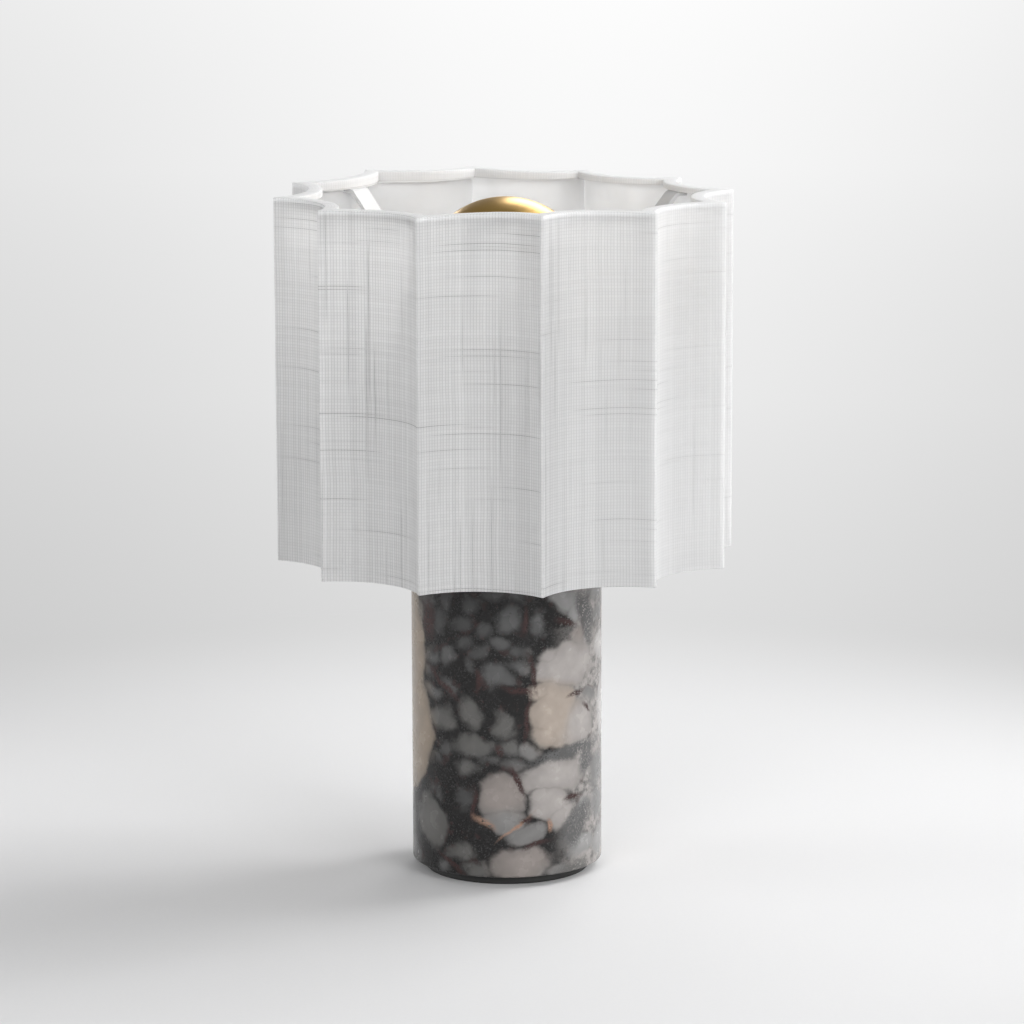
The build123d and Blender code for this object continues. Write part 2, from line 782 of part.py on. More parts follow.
panel_inset = fabric_thickness + panel_thickness
panel_outer = flute_radius + fabric_thickness
panel_inner = flute_radius + panel_inset
panel_half_angle = flute_half_angle(panel_inset) - degrees(panel_gap / panel_inner)
for number in range(flute_count):
    flute_angle = front_angle + (number + 0.5) * flute_step
    flute_centre = polar(flute_centre_radius, flute_angle)
    start_angle = flute_angle + 180 - panel_half_angle
    with BuildPart() as backing_panel:
        with BuildSketch(Plane.XY.offset(z_bottom_ring_top)):
            with BuildLine():
                near = CenterArc(flute_centre, panel_outer, start_angle, 2 * panel_half_angle)
                far = CenterArc(flute_centre, panel_inner, start_angle, 2 * panel_half_angle)
                Line(near @ 0, far @ 0)
                Line(near @ 1, far @ 1)
            make_face()
        extrude(amount=z_top_ring - z_bottom_ring_top)
    save(backing_panel, f"backing_panel_{number + 1:02d}")

print("shade: height of the top edge", round(z_shade_top, 2), "mm")
print("dome: height of the crown", round(z_dome_centre + dome_radius, 2), "mm")
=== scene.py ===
"""Looks of a cordless table lamp: a fluted linen shade, a breccia stone column and a brass push dome."""

import logging
import math
from abc import ABC, abstractmethod
from dataclasses import dataclass, replace
from enum import Enum

import bpy
from mathutils import Matrix, Vector, noise


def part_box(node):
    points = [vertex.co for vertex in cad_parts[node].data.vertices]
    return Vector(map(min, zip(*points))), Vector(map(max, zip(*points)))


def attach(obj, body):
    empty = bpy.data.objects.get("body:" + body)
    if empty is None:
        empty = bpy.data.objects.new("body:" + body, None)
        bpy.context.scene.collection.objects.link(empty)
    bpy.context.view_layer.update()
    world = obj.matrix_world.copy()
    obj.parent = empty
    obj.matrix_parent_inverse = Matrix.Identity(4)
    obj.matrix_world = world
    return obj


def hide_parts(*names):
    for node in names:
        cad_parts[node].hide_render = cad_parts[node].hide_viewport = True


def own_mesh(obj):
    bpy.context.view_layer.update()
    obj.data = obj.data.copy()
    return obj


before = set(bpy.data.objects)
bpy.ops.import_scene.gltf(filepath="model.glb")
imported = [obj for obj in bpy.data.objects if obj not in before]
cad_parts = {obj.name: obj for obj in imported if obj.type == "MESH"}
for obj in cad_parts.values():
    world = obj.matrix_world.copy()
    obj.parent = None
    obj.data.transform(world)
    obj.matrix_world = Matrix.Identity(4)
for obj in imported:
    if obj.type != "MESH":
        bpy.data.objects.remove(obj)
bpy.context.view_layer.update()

MM = 0.001
FULL_SCALE = 255.0
THREAD_MAP = "thread"

Band = tuple[float, float]
Colour = tuple[float, float, float]
Socket = bpy.types.NodeSocket
Value = float | Colour | Socket

MIDDLE: Band = (0.3, 0.7)
BLACK: Colour = (0.0, 0.0, 0.0)

log = logging.getLogger("table_lamp")


def tint(red: int, green: int, blue: int) -> Colour:
    """Turn a screen colour into the linear colour that a shader takes.

    Args:
        red: Red from 0 to 255.
        green: Green from 0 to 255.
        blue: Blue from 0 to 255.

    Returns:
        The linear colour.
    """
    def linear(level: int) -> float:
        """One channel, by the screen's own curve."""
        share = level / FULL_SCALE
        return share / 12.92 if share <= 0.04045 else ((share + 0.055) / 1.055) ** 2.4

    return linear(red), linear(green), linear(blue)


class Body(Enum):
    """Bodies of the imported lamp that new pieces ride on."""

    BASE = "base"
    SHADE = "shade"


class Slot(Enum):
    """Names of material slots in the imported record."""

    LINEN = "linen"
    SPRING = "spring_steel"


class Graph:
    """Node tree of a material or a world, with a method for each kind of node that they share."""

    def __init__(self, owner: bpy.types.Material | bpy.types.World) -> None:
        """Start with an empty tree.

        Args:
            owner: What the tree belongs to.
        """
        owner.use_nodes = True
        self.owner = owner
        self.nodes = owner.node_tree.nodes
        self.links = owner.node_tree.links
        self.nodes.clear()

    def feed(self, socket: Socket, value: Value) -> None:
        """Link a socket to another one, or set its own value.

        Args:
            socket: The input to fill.
            value: A socket, a number, a vector or a colour.
        """
        if isinstance(value, bpy.types.NodeSocket):
            self.links.new(value, socket)
        elif socket.type == "RGBA" and len(value) == 3:
            socket.default_value = (*value, 1.0)
        else:
            socket.default_value = value

    def add(self, kind: str, inputs: dict[str | int, Value] | None = None,
            **settings: object) -> bpy.types.Node:
        """Add a node.

        Args:
            kind: Blender's name for the node.
            inputs: What goes into its sockets, by name or place.
            settings: The node's own options.

        Returns:
            The node.
        """
        node = self.nodes.new(kind)
        for option, choice in settings.items():
            setattr(node, option, choice)
        for key, value in (inputs or {}).items():
            self.feed(node.inputs[key], value)
        return node

    def point(self) -> Socket:
        """Place on the piece, in metres of the lamp's own frame."""
        return self.add("ShaderNodeTexCoord").outputs["Object"]

    def thread_map(self) -> Socket:
        """Place on the cloth, in metres along and across its threads."""
        return self.add("ShaderNodeUVMap", uv_map=THREAD_MAP).outputs["UV"]

    def split(self, vector: Socket) -> tuple[Socket, Socket, Socket]:
        """The three parts of a vector."""
        outputs = self.add("ShaderNodeSeparateXYZ", {"Vector": vector}).outputs
        return outputs["X"], outputs["Y"], outputs["Z"]

    def join(self, x: Value = 0.0, y: Value = 0.0, z: Value = 0.0) -> Socket:
        """A vector from its three parts."""
        return self.add("ShaderNodeCombineXYZ", {"X": x, "Y": y, "Z": z}).outputs["Vector"]

    def math(self, operation: str, first: Value, second: Value = 0.0, third: Value = 0.0) -> Socket:
        """One step of arithmetic."""
        inputs = {0: first, 1: second, 2: third}
        return self.add("ShaderNodeMath", inputs, operation=operation).outputs["Value"]

    def times(self, first: Value, second: Value) -> Socket:
        """One number times another."""
        return self.math("MULTIPLY", first, second)

    def vector(self, operation: str, first: Value, second: Value = BLACK) -> Socket:
        """One step of vector arithmetic, which gives a vector, a length or a product."""
        node = self.add("ShaderNodeVectorMath", {0: first, 1: second}, operation=operation)
        return node.outputs["Value" if operation in ("LENGTH", "DOT_PRODUCT") else "Vector"]

    def grain(self, vector: Socket, size: float, detail: float = 2.0, roughness: float = 0.5) -> Socket:
        """Soft random grain.

        Args:
            vector: Where on the piece.
            size: Size of one grain, in the vector's own units.
            detail: How many finer layers lie on it.
            roughness: How strong the finer layers are.

        Returns:
            A number about 0.5.
        """
        inputs = {"Vector": vector, "Scale": 1.0 / size, "Detail": detail, "Roughness": roughness}
        return self.add("ShaderNodeTexNoise", inputs).outputs["Fac"]

    def drift(self, vector: Socket, size: float, reach: float, detail: float = 1.0) -> Socket:
        """A random shift of place, the same each way.

        Args:
            vector: Where on the piece.
            size: Size of one swirl.
            reach: How far the place is shifted at the most.
            detail: How many finer layers lie on it.

        Returns:
            The shift as a vector.
        """
        inputs = {"Vector": vector, "Scale": 1.0 / size, "Detail": detail}
        swirl = self.add("ShaderNodeTexNoise", inputs).outputs["Color"]
        centred = self.vector("SUBTRACT", swirl, (0.5, 0.5, 0.5))
        return self.vector("MULTIPLY", centred, (2.0 * reach,) * 3)

    def remap(self, value: Value, low: float, high: float, start: float = 0.0,
              end: float = 1.0) -> Socket:
        """Smooth step.

        Args:
            value: The value.
            low: Where the step begins.
            high: Where it is over.
            start: The result up to low.
            end: The result from high on.

        Returns:
            The result.
        """
        inputs = {0: value, 1: low, 2: high, 3: start, 4: end}
        node = self.add("ShaderNodeMapRange", inputs, interpolation_type="SMOOTHSTEP")
        return node.outputs["Result"]

    def mix(self, share: Value, first: Value, second: Value, blend: str = "MIX") -> Socket:
        """A colour between two colours.

        Args:
            share: How much of the second, from 0 to 1.
            first: The first colour.
            second: The second colour.
            blend: How the second lies on the first.

        Returns:
            The colour.
        """
        inputs = {0: share, 6: first, 7: second}
        node = self.add("ShaderNodeMix", inputs, data_type="RGBA", blend_type=blend)
        return node.outputs[2]

    def shaded(self, colour: Value, tone: Value) -> Socket:
        """A colour times a tone."""
        return self.mix(1.0, colour, tone, blend="MULTIPLY")

    def bump(self, height: Value, depth: float, strength: float = 1.0) -> Socket:
        """Surface relief.

        Args:
            height: The relief, from 0 to 1.
            depth: How deep 1 is, in metres.
            strength: How much of it shows.

        Returns:
            The surface normal.
        """
        inputs = {"Height": height, "Distance": depth, "Strength": strength}
        return self.add("ShaderNodeBump", inputs).outputs["Normal"]

    def shader(self, kind: str, **inputs: Value) -> Socket:
        """A surface.

        Args:
            kind: Blender's name for it.
            inputs: What goes into its sockets, named in words joined by underscores.

        Returns:
            The surface.
        """
        names = {word.replace("_", " ").title().replace("Ior", "IOR"): value
                 for word, value in inputs.items()}
        return self.add(f"ShaderNodeBsdf{kind}", names).outputs["BSDF"]

    def blend(self, share: Value, first: Socket, second: Socket) -> Socket:
        """A surface between two surfaces."""
        return self.add("ShaderNodeMixShader", {0: share, 1: first, 2: second}).outputs["Shader"]

    def close(self, shader: Socket) -> bpy.types.Material:
        """Put the shader on the surface and hand the material over."""
        self.add("ShaderNodeOutputMaterial", {"Surface": shader})
        return self.owner


class Finish(ABC):
    """A surface finish that a maker would name."""

    name: str

    @abstractmethod
    def surface(self, g: Graph) -> Socket:
        """Build the finish's shader.

        Args:
            g: The node tree.

        Returns:
            The shader.
        """

    def material(self) -> bpy.types.Material:
        """Make the finish as a material."""
        g = Graph(bpy.data.materials.new(self.name))
        return g.close(self.surface(g))


@dataclass(frozen=True)
class Linen(Finish):
    """Plain-woven white linen with slubs, seen by reflected and by transmitted light."""

    name: str = "woven_linen"
    thread_pitch: float = 1.18 * MM
    wander_length: float = 30.0 * MM
    wander: float = 0.45
    crown: float = 0.35
    gap_band: Band = (0.10, 0.60)
    weft_gap: float = 0.55
    slub_length: float = 95.0 * MM
    slub_spread: float = 5.37
    slub_band: Band = (0.61, 0.71)
    crest_band: Band = (0.78, 0.98)
    slub_lift: float = 0.4
    slub_face: float = 0.05
    slub_through: float = 0.60
    tone_length: float = 380.0 * MM
    tone_spread: float = 3.71
    tone_band: Band = (0.36, 0.64)
    slub_seeds: Band = (2.3, 8.9)
    tone_seeds: Band = (4.1, 6.7)
    warp_share: float = 0.7
    girth: float = 620.0 * MM
    # Placed away from the key light: the weave, slubs and dulling fade on the key-lit side, a painted
    # wash of light over uneven yarn.
    slubby_place: float = 560.0 * MM
    slubby_reach: float = 190.0 * MM
    plain_share: float = 0.25
    plain_contrast: float = 0.2
    relief: float = 0.07 * MM
    yarn: Colour = (0.95, 0.95, 0.95)
    # The gap colours are darker than the yarn: the gaps are real, their darkness is painted shade in the
    # hollows between threads, far stronger in transmitted light.
    gap: Colour = (0.91, 0.91, 0.91)
    yarn_through: Colour = (0.98, 0.98, 0.98)
    shaded_gap_through: Colour = (0.64, 0.64, 0.64)
    dull: float = 0.985
    dull_through: float = 0.86
    see_through: float = 0.62
    hem_through: float = 0.38
    hem_band: Band = (8.2 * MM, 9.2 * MM)

    def slubs(self, g: Graph, thread: Socket, along: Socket, ridge: Socket, seed: float) -> Socket:
        """Thick or dense stretches of single threads.

        Args:
            g: The node tree.
            thread: Number of the thread.
            along: Metres along the thread.
            ridge: How near the thread's own middle is, from 0 to 1.
            seed: Sets one family of threads apart from the other.

        Returns:
            1 on a slub and 0 elsewhere.
        """
        run = g.math("DIVIDE", along, self.slub_length)
        place = g.join(g.times(thread, self.slub_spread), run, seed)
        dense = g.remap(g.grain(place, 1.0, detail=1.0), *self.slub_band)
        return g.times(dense, g.remap(ridge, *self.crest_band))

    def slubby_away_from_key(self, g: Graph, along: Socket) -> Socket:
        """How uneven the yarn is along the bolt, placed so that the weave and slubs fade on the key-lit
        side of the shade, a painted wash of light over uneven yarn.

        Args:
            g: The node tree.
            along: Metres along the bolt.

        Returns:
            1 at the slubby place, on the side away from the key light, and the plain share far from it,
            on the key-lit side.
        """
        away = g.math("ABSOLUTE", g.math("SUBTRACT", along, self.slubby_place))
        round_shade = g.math("MINIMUM", away, g.math("SUBTRACT", self.girth, away))
        return g.remap(round_shade, 0.0, self.slubby_reach, 1.0, self.plain_share)

    def tone(self, g: Graph, thread: Socket, along: Socket, seed: float) -> Socket:
        """Tone of a single thread as it runs, about 0.5."""
        run = g.math("DIVIDE", along, self.tone_length)
        place = g.join(g.times(thread, self.tone_spread), run, seed)
        return g.grain(place, 1.0, detail=0.0)

    def surface(self, g: Graph) -> Socket:
        """Build the finish's shader.

        Args:
            g: The node tree.

        Returns:
            The shader.
        """
        place = g.thread_map()
        stray = g.drift(place, self.wander_length, self.wander)
        threads = g.vector("ADD", g.vector("MULTIPLY", place, (1.0 / self.thread_pitch,) * 3), stray)
        u, v, _ = g.split(threads)
        along_u, along_v, _ = g.split(place)
        warp = g.math("SINE", g.times(u, math.pi))
        weft = g.math("SINE", g.times(v, math.pi))
        warp_ridge = g.math("ABSOLUTE", warp)
        weft_ridge = g.math("ABSOLUTE", weft)
        warp_lift = g.times(weft, g.math("SIGN", warp))
        weft_lift = g.times(warp, g.math("SIGN", weft))
        height = g.math("MAXIMUM", g.math("MULTIPLY_ADD", warp_lift, self.crown, warp_ridge),
                        g.math("MULTIPLY_ADD", weft_lift, -self.crown, weft_ridge))
        # Share of gap between the threads, which takes the painted shade of the gap colours.
        between = g.math("MAXIMUM", g.remap(warp_ridge, *self.gap_band, 1.0, 0.0),
                         g.remap(weft_ridge, *self.gap_band, self.weft_gap, 0.0))
        # Weave contrast, slubs and dulling fade where the key light falls: painted wash of light.
        slubby_away_from_key = self.slubby_away_from_key(g, along_u)
        contrast = g.remap(slubby_away_from_key, 0.0, 1.0, self.plain_contrast, 1.0)
        cover = g.math("SUBTRACT", 1.0, g.times(between, contrast))
        runs = ((g.math("FLOOR", u), along_v), (g.math("FLOOR", v), along_u))
        warp_slub, weft_slub = (self.slubs(g, *run, ridge, seed) for run, ridge, seed
                                in zip(runs, (warp_ridge, weft_ridge), self.slub_seeds))
        slub = g.times(g.math("MAXIMUM", warp_slub, weft_slub), slubby_away_from_key)
        warp_tone, weft_tone = (self.tone(g, *run, seed) for run, seed in zip(runs, self.tone_seeds))
        weft_part = g.times(weft_tone, 1.0 - self.warp_share)
        tone = g.math("MULTIPLY_ADD", warp_tone, self.warp_share, weft_part)
        worn = g.remap(tone, *self.tone_band, self.dull, 1.0)
        reflected = g.shaded(g.mix(cover, self.gap, self.yarn), worn)
        reflected = g.mix(g.times(slub, self.slub_face), reflected, BLACK)
        dense = g.times(g.remap(tone, *self.tone_band, 1.0 - self.dull_through, 0.0), slubby_away_from_key)
        through = g.mix(cover, self.shaded_gap_through, self.yarn_through)
        through = g.shaded(through, g.math("SUBTRACT", 1.0, dense))
        through = g.mix(g.times(slub, self.slub_through), through, BLACK)
        normal = g.bump(g.math("ADD", height, g.times(slub, self.slub_lift)), self.relief, 0.6)
        face = g.shader("Principled", base_color=reflected, roughness=0.85, specular_ior_level=0.2,
                        sheen_weight=0.12, sheen_roughness=0.5, normal=normal)
        share = g.remap(along_v, *self.hem_band, self.hem_through, self.see_through)
        return g.blend(share, face, g.shader("Translucent", color=through, normal=normal))


@dataclass(frozen=True)
class Milky(Finish):
    """Milky plastic that lets light through and spreads it."""

    name: str
    face: Colour
    through: Colour
    see_through: float
    cloud_size: float
    cloud_tone: Band
    gloss: Band
    grain_size: float
    grain_depth: float
    clouded_through: bool = False

    def surface(self, g: Graph) -> Socket:
        """Build the finish's shader.

        Args:
            g: The node tree.

        Returns:
            The shader.
        """
        point = g.point()
        cloud = g.grain(point, self.cloud_size, detail=3.0)
        tone = g.remap(cloud, *MIDDLE, *self.cloud_tone)
        face = g.shader("Principled", base_color=g.shaded(self.face, tone),
                        roughness=g.remap(cloud, *MIDDLE, *self.gloss),
                        normal=g.bump(g.grain(point, self.grain_size), self.grain_depth))
        through = g.shaded(self.through, tone) if self.clouded_through else self.through
        return g.blend(self.see_through, face, g.shader("Translucent", color=through))


class Mineral(Enum):
    """What a piece of broken rock in the breccia is made of, by its colour."""

    # Brightest white, given only to clasts at the column's right edge: white stone with a painted
    # highlight of the key light along that edge.
    SNOW_AND_HIGHLIGHT = tint(176, 173, 171)
    WHITE = tint(158, 153, 150)
    CREAM = tint(162, 151, 141)
    TAN = tint(139, 127, 114)
    ROSE = tint(136, 129, 125)
    MILK = tint(146, 145, 144)
    PALE = tint(124, 123, 122)
    GREY = tint(97, 96, 94)
    DIM = tint(91, 91, 91)
    GHOST = tint(76, 76, 76)
    CHARCOAL = tint(28, 27, 27)
    MAROON = tint(60, 42, 41)
    RUST = tint(150, 120, 103)


@dataclass(frozen=True)
class Clast:
    """One piece of broken rock on the unrolled face of the column, in millimetres and degrees."""

    mineral: Mineral
    edge: float
    across: float
    up: float
    half_width: float
    half_height: float
    tilt: float = 0.0

    def axis(self, turn: float, half: float) -> Colour:
        """Factors that turn a place on the face into a distance along one of the clast's own axes.

        Args:
            turn: Angle of the axis from the clast's width, in degrees.
            half: Half size along that axis, which counts as 1.

        Returns:
            Factors of the place across, the place up and 1.
        """
        angle = math.radians(self.tilt + turn)
        lead, rise = math.cos(angle) / half, math.sin(angle) / half
        return lead, rise, -(lead * self.across + rise * self.up)

    def beyond(self, g: Graph, place: Socket) -> Socket:
        """How far a place lies outside the clast, in widths of its soft edge.

        Args:
            g: The node tree.
            place: Millimetres across and up the unrolled face, with 1 as the third part.

        Returns:
            The distance, below 0 inside the clast.
        """
        wide = g.vector("DOT_PRODUCT", place, self.axis(0.0, self.half_width))
        tall = g.vector("DOT_PRODUCT", place, self.axis(90.0, self.half_height))
        away = g.math("SQRT", g.math("MULTIPLY_ADD", wide, wide, g.times(tall, tall)))
        scale = min(self.half_width, self.half_height) / self.edge
        return g.math("MULTIPLY_ADD", away, scale, -scale)


def laid(mineral: Mineral, edge: float, *rows: tuple[float, ...]) -> tuple[Clast, ...]:
    """Clasts of one mineral.

    Args:
        mineral: What they are made of.
        edge: Width of their soft edge.
        rows: For each its place across and up, half its width and height and, if it leans, its tilt.

    Returns:
        The clasts in that order.
    """
    return tuple(Clast(mineral, edge, *row) for row in rows)


@dataclass(frozen=True)
class Speckle:
    """Random patches, which show where a grain passes through a band."""

    size: float
    band: Band
    detail: float = 2.0
    roughness: float = 0.5

    def at(self, g: Graph, place: Socket, most: float = 1.0) -> Socket:
        """How much of a patch shows at a place."""
        return g.remap(g.grain(place, self.size, self.detail, self.roughness), *self.band, 0.0, most)


@dataclass(frozen=True)
class Breccia(Finish):
    """Honed breccia: pale, grey and cream clasts in a charcoal ground with maroon veins.

    Sizes are in millimetres, apart from the radius and the depth of the pores.
    """

    name: str = "honed_breccia"
    radius: float = 37.5 * MM
    swirl_size: float = 9.0
    swirl: float = 2.2
    fray_size: float = 2.6
    fray: float = 0.5
    blend: float = 6.0
    seam: float = 1.6
    seam_share: float = 0.12
    seam_depth: Band = (-6.0, -1.0)
    seam_faint: float = 0.3
    glow: Band = (-1.9, 0.9)
    heart: Band = (-7.0, -0.5)
    heart_tone: Band = (1.06, 0.86)
    depth_size: float = 5.0
    depth: float = 3.5
    fringe_in: Band = (-0.9, 0.0)
    fringe_out: Band = (0.3, 1.3)
    fringe: Speckle = Speckle(6.0, (0.55, 0.66), detail=4.0)
    fringe_share: float = 0.45
    feather: Speckle = Speckle(0.9, (0.30, 0.52), roughness=0.55)
    vein_band: Band = (-0.6, 1.2)
    crystals: Speckle = Speckle(0.7, (0.50, 0.74), detail=3.0, roughness=0.7)
    murk: Speckle = Speckle(7.0, (0.44, 0.66), detail=3.0)
    murk_share: float = 0.7
    specks: Speckle = Speckle(3.2, (0.60, 0.70), detail=3.0)
    speck_share: float = 0.55
    mottle: Speckle = Speckle(3.0, (0.32, 0.62), detail=5.0, roughness=0.65)
    pale_front: Band = (16.0, 36.0)
    pale_back: Band = (62.0, 96.0)
    face_reach: float = 52.0
    face_top: float = 115.0
    fade: float = 8.0
    ragged_size: float = 12.0
    ragged: float = 26.0
    cell_rim: float = 0.10
    cell_reach: float = 0.62
    soft_edge: float = 3.0
    small_size: float = 11.0
    small_share: float = 0.75
    large_size: float = 27.0
    large_share: float = 0.5
    large_shift: Colour = (31.0, 7.0, 19.0)
    cloud_size: float = 7.0
    cloud_band: Band = (0.25, 0.75)
    cloud_tone: Band = (0.90, 1.08)
    gloss: Band = (0.20, 0.30)
    pores: Speckle = Speckle(0.35, (0.30, 0.42))
    pore_depth: float = 0.008 * MM
    clasts: tuple[Clast, ...] = (
        *laid(Mineral.GHOST, 1.5, (-14, 112.5, 4.6, 3.6), (-6, 116, 4.6, 2.6), (4, 115.5, 4.6, 2.8),
              (-26, 112.5, 3.2, 3), (-35.5, 111, 4.6, 3.6)),
        *laid(Mineral.DIM, 1.5, (-41, 106, 3.6, 5, 20), (0.5, 106.5, 4.8, 5.8), (12.8, 104.2, 4, 5.8)),
        *laid(Mineral.GHOST, 1.5, (-18, 104.5, 5.2, 3.8, 15), (-28.5, 104, 3.8, 6),
              (-8, 102, 4.2, 3.6, 20)),
        *laid(Mineral.DIM, 1.5, (-3, 97.5, 4.8, 3.4)),
        *laid(Mineral.GHOST, 1.5, (-10.5, 94.5, 4.2, 3, 30), (5, 93.5, 4.6, 3), (-17, 97, 3.4, 3.4)),
        *laid(Mineral.DIM, 1.5, (-33, 88.6, 4.6, 3.6), (-24.5, 91.4, 4, 4.4)),
        *laid(Mineral.GHOST, 1.5, (-13.5, 88.5, 2.4, 4)),
        *laid(Mineral.DIM, 1.5, (4, 88, 4.6, 2.8), (-4, 84, 8, 4.6, -20), (-24, 78.4, 4.8, 3, -38)),
        *laid(Mineral.GHOST, 1.5, (-35, 83.5, 3, 3)),
        *laid(Mineral.DIM, 1.5, (-33, 75.5, 5.2, 3.2, -10)),
        *laid(Mineral.GREY, 1.4, (-28, 66, 8.8, 4.8), (-14.6, 69.6, 4.4, 6.2, 16),
              (-1.5, 65, 4.4, 6.4, 28)),
        *laid(Mineral.GHOST, 1.5, (-26, 53.6, 3, 3.4), (-30, 49.5, 3.4, 2.4)),
        *laid(Mineral.GREY, 1.4, (-13.2, 56.4, 10, 5.4), (-15.4, 47.3, 4.2, 3)),
        *laid(Mineral.DIM, 1.5, (-7, 50.5, 5.6, 2.4)),
        *laid(Mineral.GREY, 1.4, (1, 56, 4, 4.2)),
        *laid(Mineral.DIM, 1.5, (2, 49.5, 4.6, 2.8)),
        *laid(Mineral.GHOST, 1.5, (-17, 35, 4, 5.6)),
        *laid(Mineral.DIM, 1.5, (-31, 35.4, 5, 2.2, -30)),
        *laid(Mineral.GREY, 1.4, (-35, 23.5, 11.6, 10, -34), (-19, 13.5, 6.2, 4), (-12, 7, 6.6, 4)),
        *laid(Mineral.DIM, 1.5, (-27, 6.5, 4, 3), (-50, 7, 8, 6)),
        *laid(Mineral.TAN, 0.9, (-56, 60, 24, 27.5), (-55, 91, 18, 31)),
        *laid(Mineral.MILK, 0.9, (24.6, 113.2, 9.4, 4.6, -22), (28.5, 107.5, 4.2, 4.2)),
        *laid(Mineral.PALE, 2.0, (47, 105.5, 7, 4)),
        *laid(Mineral.MILK, 1.8, (45, 114, 8, 4)),
        *laid(Mineral.ROSE, 0.9, (31.5, 97, 4.2, 5.6)),
        *laid(Mineral.WHITE, 0.9, (26, 87, 16, 9.2, 4), (18.4, 91, 6.6, 4.6)),
        # Brightest white at the right edge: white stone with a painted highlight of the key light.
        *laid(Mineral.SNOW_AND_HIGHLIGHT, 0.9, (51, 90.5, 8, 6.6, -20)),
        *laid(Mineral.CREAM, 0.9, (20.4, 69, 11.6, 14.4), (17, 61, 8.4, 6), (15.4, 77, 8.4, 4.4)),
        *laid(Mineral.WHITE, 0.9, (31, 63.5, 11, 9.4)),
        *laid(Mineral.PALE, 0.9, (38, 73.5, 6, 2.8, -8)),
        # Brightest white at the right edge: white stone with a painted highlight of the key light.
        *laid(Mineral.SNOW_AND_HIGHLIGHT, 0.9, (53.6, 66, 8, 14)),
        *laid(Mineral.PALE, 0.9, (8, 54.6, 5.4, 2.8)),
        *laid(Mineral.WHITE, 0.9, (20, 43.8, 15.6, 7.2)),
        *laid(Mineral.ROSE, 0.9, (-2.2, 36, 9.6, 10.6)),
        *laid(Mineral.PALE, 0.9, (-1, 28, 8.6, 7)),
        *laid(Mineral.WHITE, 0.9, (17.6, 33.5, 9.2, 8.6), (21.5, 28, 6.8, 6, 30)),
        *laid(Mineral.PALE, 0.9, (8, 21.5, 8.6, 4.8, 8)),
        *laid(Mineral.ROSE, 0.9, (5.5, 9.6, 12.8, 7.4)),
        *laid(Mineral.MILK, 0.9, (34.5, 14, 9.6, 4.8, 10)),
        *laid(Mineral.PALE, 0.9, (20, 6, 6.2, 2.6)),
        *laid(Mineral.MILK, 1.4, (48, 12, 8, 7)),
        *laid(Mineral.PALE, 1.8, (46, 42, 7.6, 7, 20)),
        *laid(Mineral.MILK, 1.6, (35, 31.6, 5.4, 3.6, 15)),
        *laid(Mineral.PALE, 1.8, (47, 28, 7, 7)),
    )
    veins: tuple[Clast, ...] = (
        *laid(Mineral.CHARCOAL, 1.0, (20.5, 106.5, 6, 2.6, -25)),
        *laid(Mineral.CHARCOAL, 0.9, (3, 74, 5.2, 6.8, 20)),
        *laid(Mineral.DIM, 1.3, (27, 52.4, 15, 2.1, 5)),
        *laid(Mineral.DIM, 2.2, (31, 23, 10, 5, 48), (37, 47.5, 4.6, 3.6, 30)),
        *laid(Mineral.MAROON, 2.0, (-35, 104, 2.4, 5.5)),
        *laid(Mineral.MAROON, 0.9, (-27, 79, 7, 0.9, -38), (-11, 82.5, 0.9, 3), (7, 106, 0.9, 4),
              (24, 105, 3.6, 1.1, -30)),
        *laid(Mineral.MAROON, 0.8, (10.6, 85, 0.8, 5, 12)),
        *laid(Mineral.MAROON, 0.9, (4.5, 78.5, 4.4, 1.1, -8)),
        *laid(Mineral.MAROON, 0.7, (8.2, 66.5, 0.7, 7, -4)),
        *laid(Mineral.MAROON, 0.8, (30.5, 75, 3.4, 0.8, 14)),
        *laid(Mineral.MAROON, 0.5, (36.4, 68.4, 2.4, 0.5, -40)),
        *laid(Mineral.MAROON, 0.8, (-2.6, 55, 0.9, 2, 10)),
        *laid(Mineral.MAROON, 0.9, (4.6, 43.2, 1.3, 4.6, 26), (-13, 33, 0.9, 4.6)),
        *laid(Mineral.RUST, 1.4, (-9, 25.4, 2.0, 0.7, -35)),
        *laid(Mineral.MAROON, 0.9, (27.6, 34.6, 2.8, 1.0, 14)),
        *laid(Mineral.RUST, 0.5, (3.4, 25, 5.6, 0.45, 40)),
        *laid(Mineral.MAROON, 0.9, (7.6, 28, 2.0, 0.9, 24)),
        *laid(Mineral.RUST, 0.8, (16.8, 24.2, 0.8, 1.6, 20)),
        *laid(Mineral.MAROON, 0.9, (12, 17, 4.2, 1.0, 12), (-23, 8, 5.4, 0.9, -38)),
        *laid(Mineral.MAROON, 1.6, (34, 106, 1.4, 5, 10)),
        *laid(Mineral.DIM, 2.2, (36, 105, 3.6, 10, 18)),
        *laid(Mineral.GREY, 1.6, (29, 5.4, 7, 1.8)),
    )

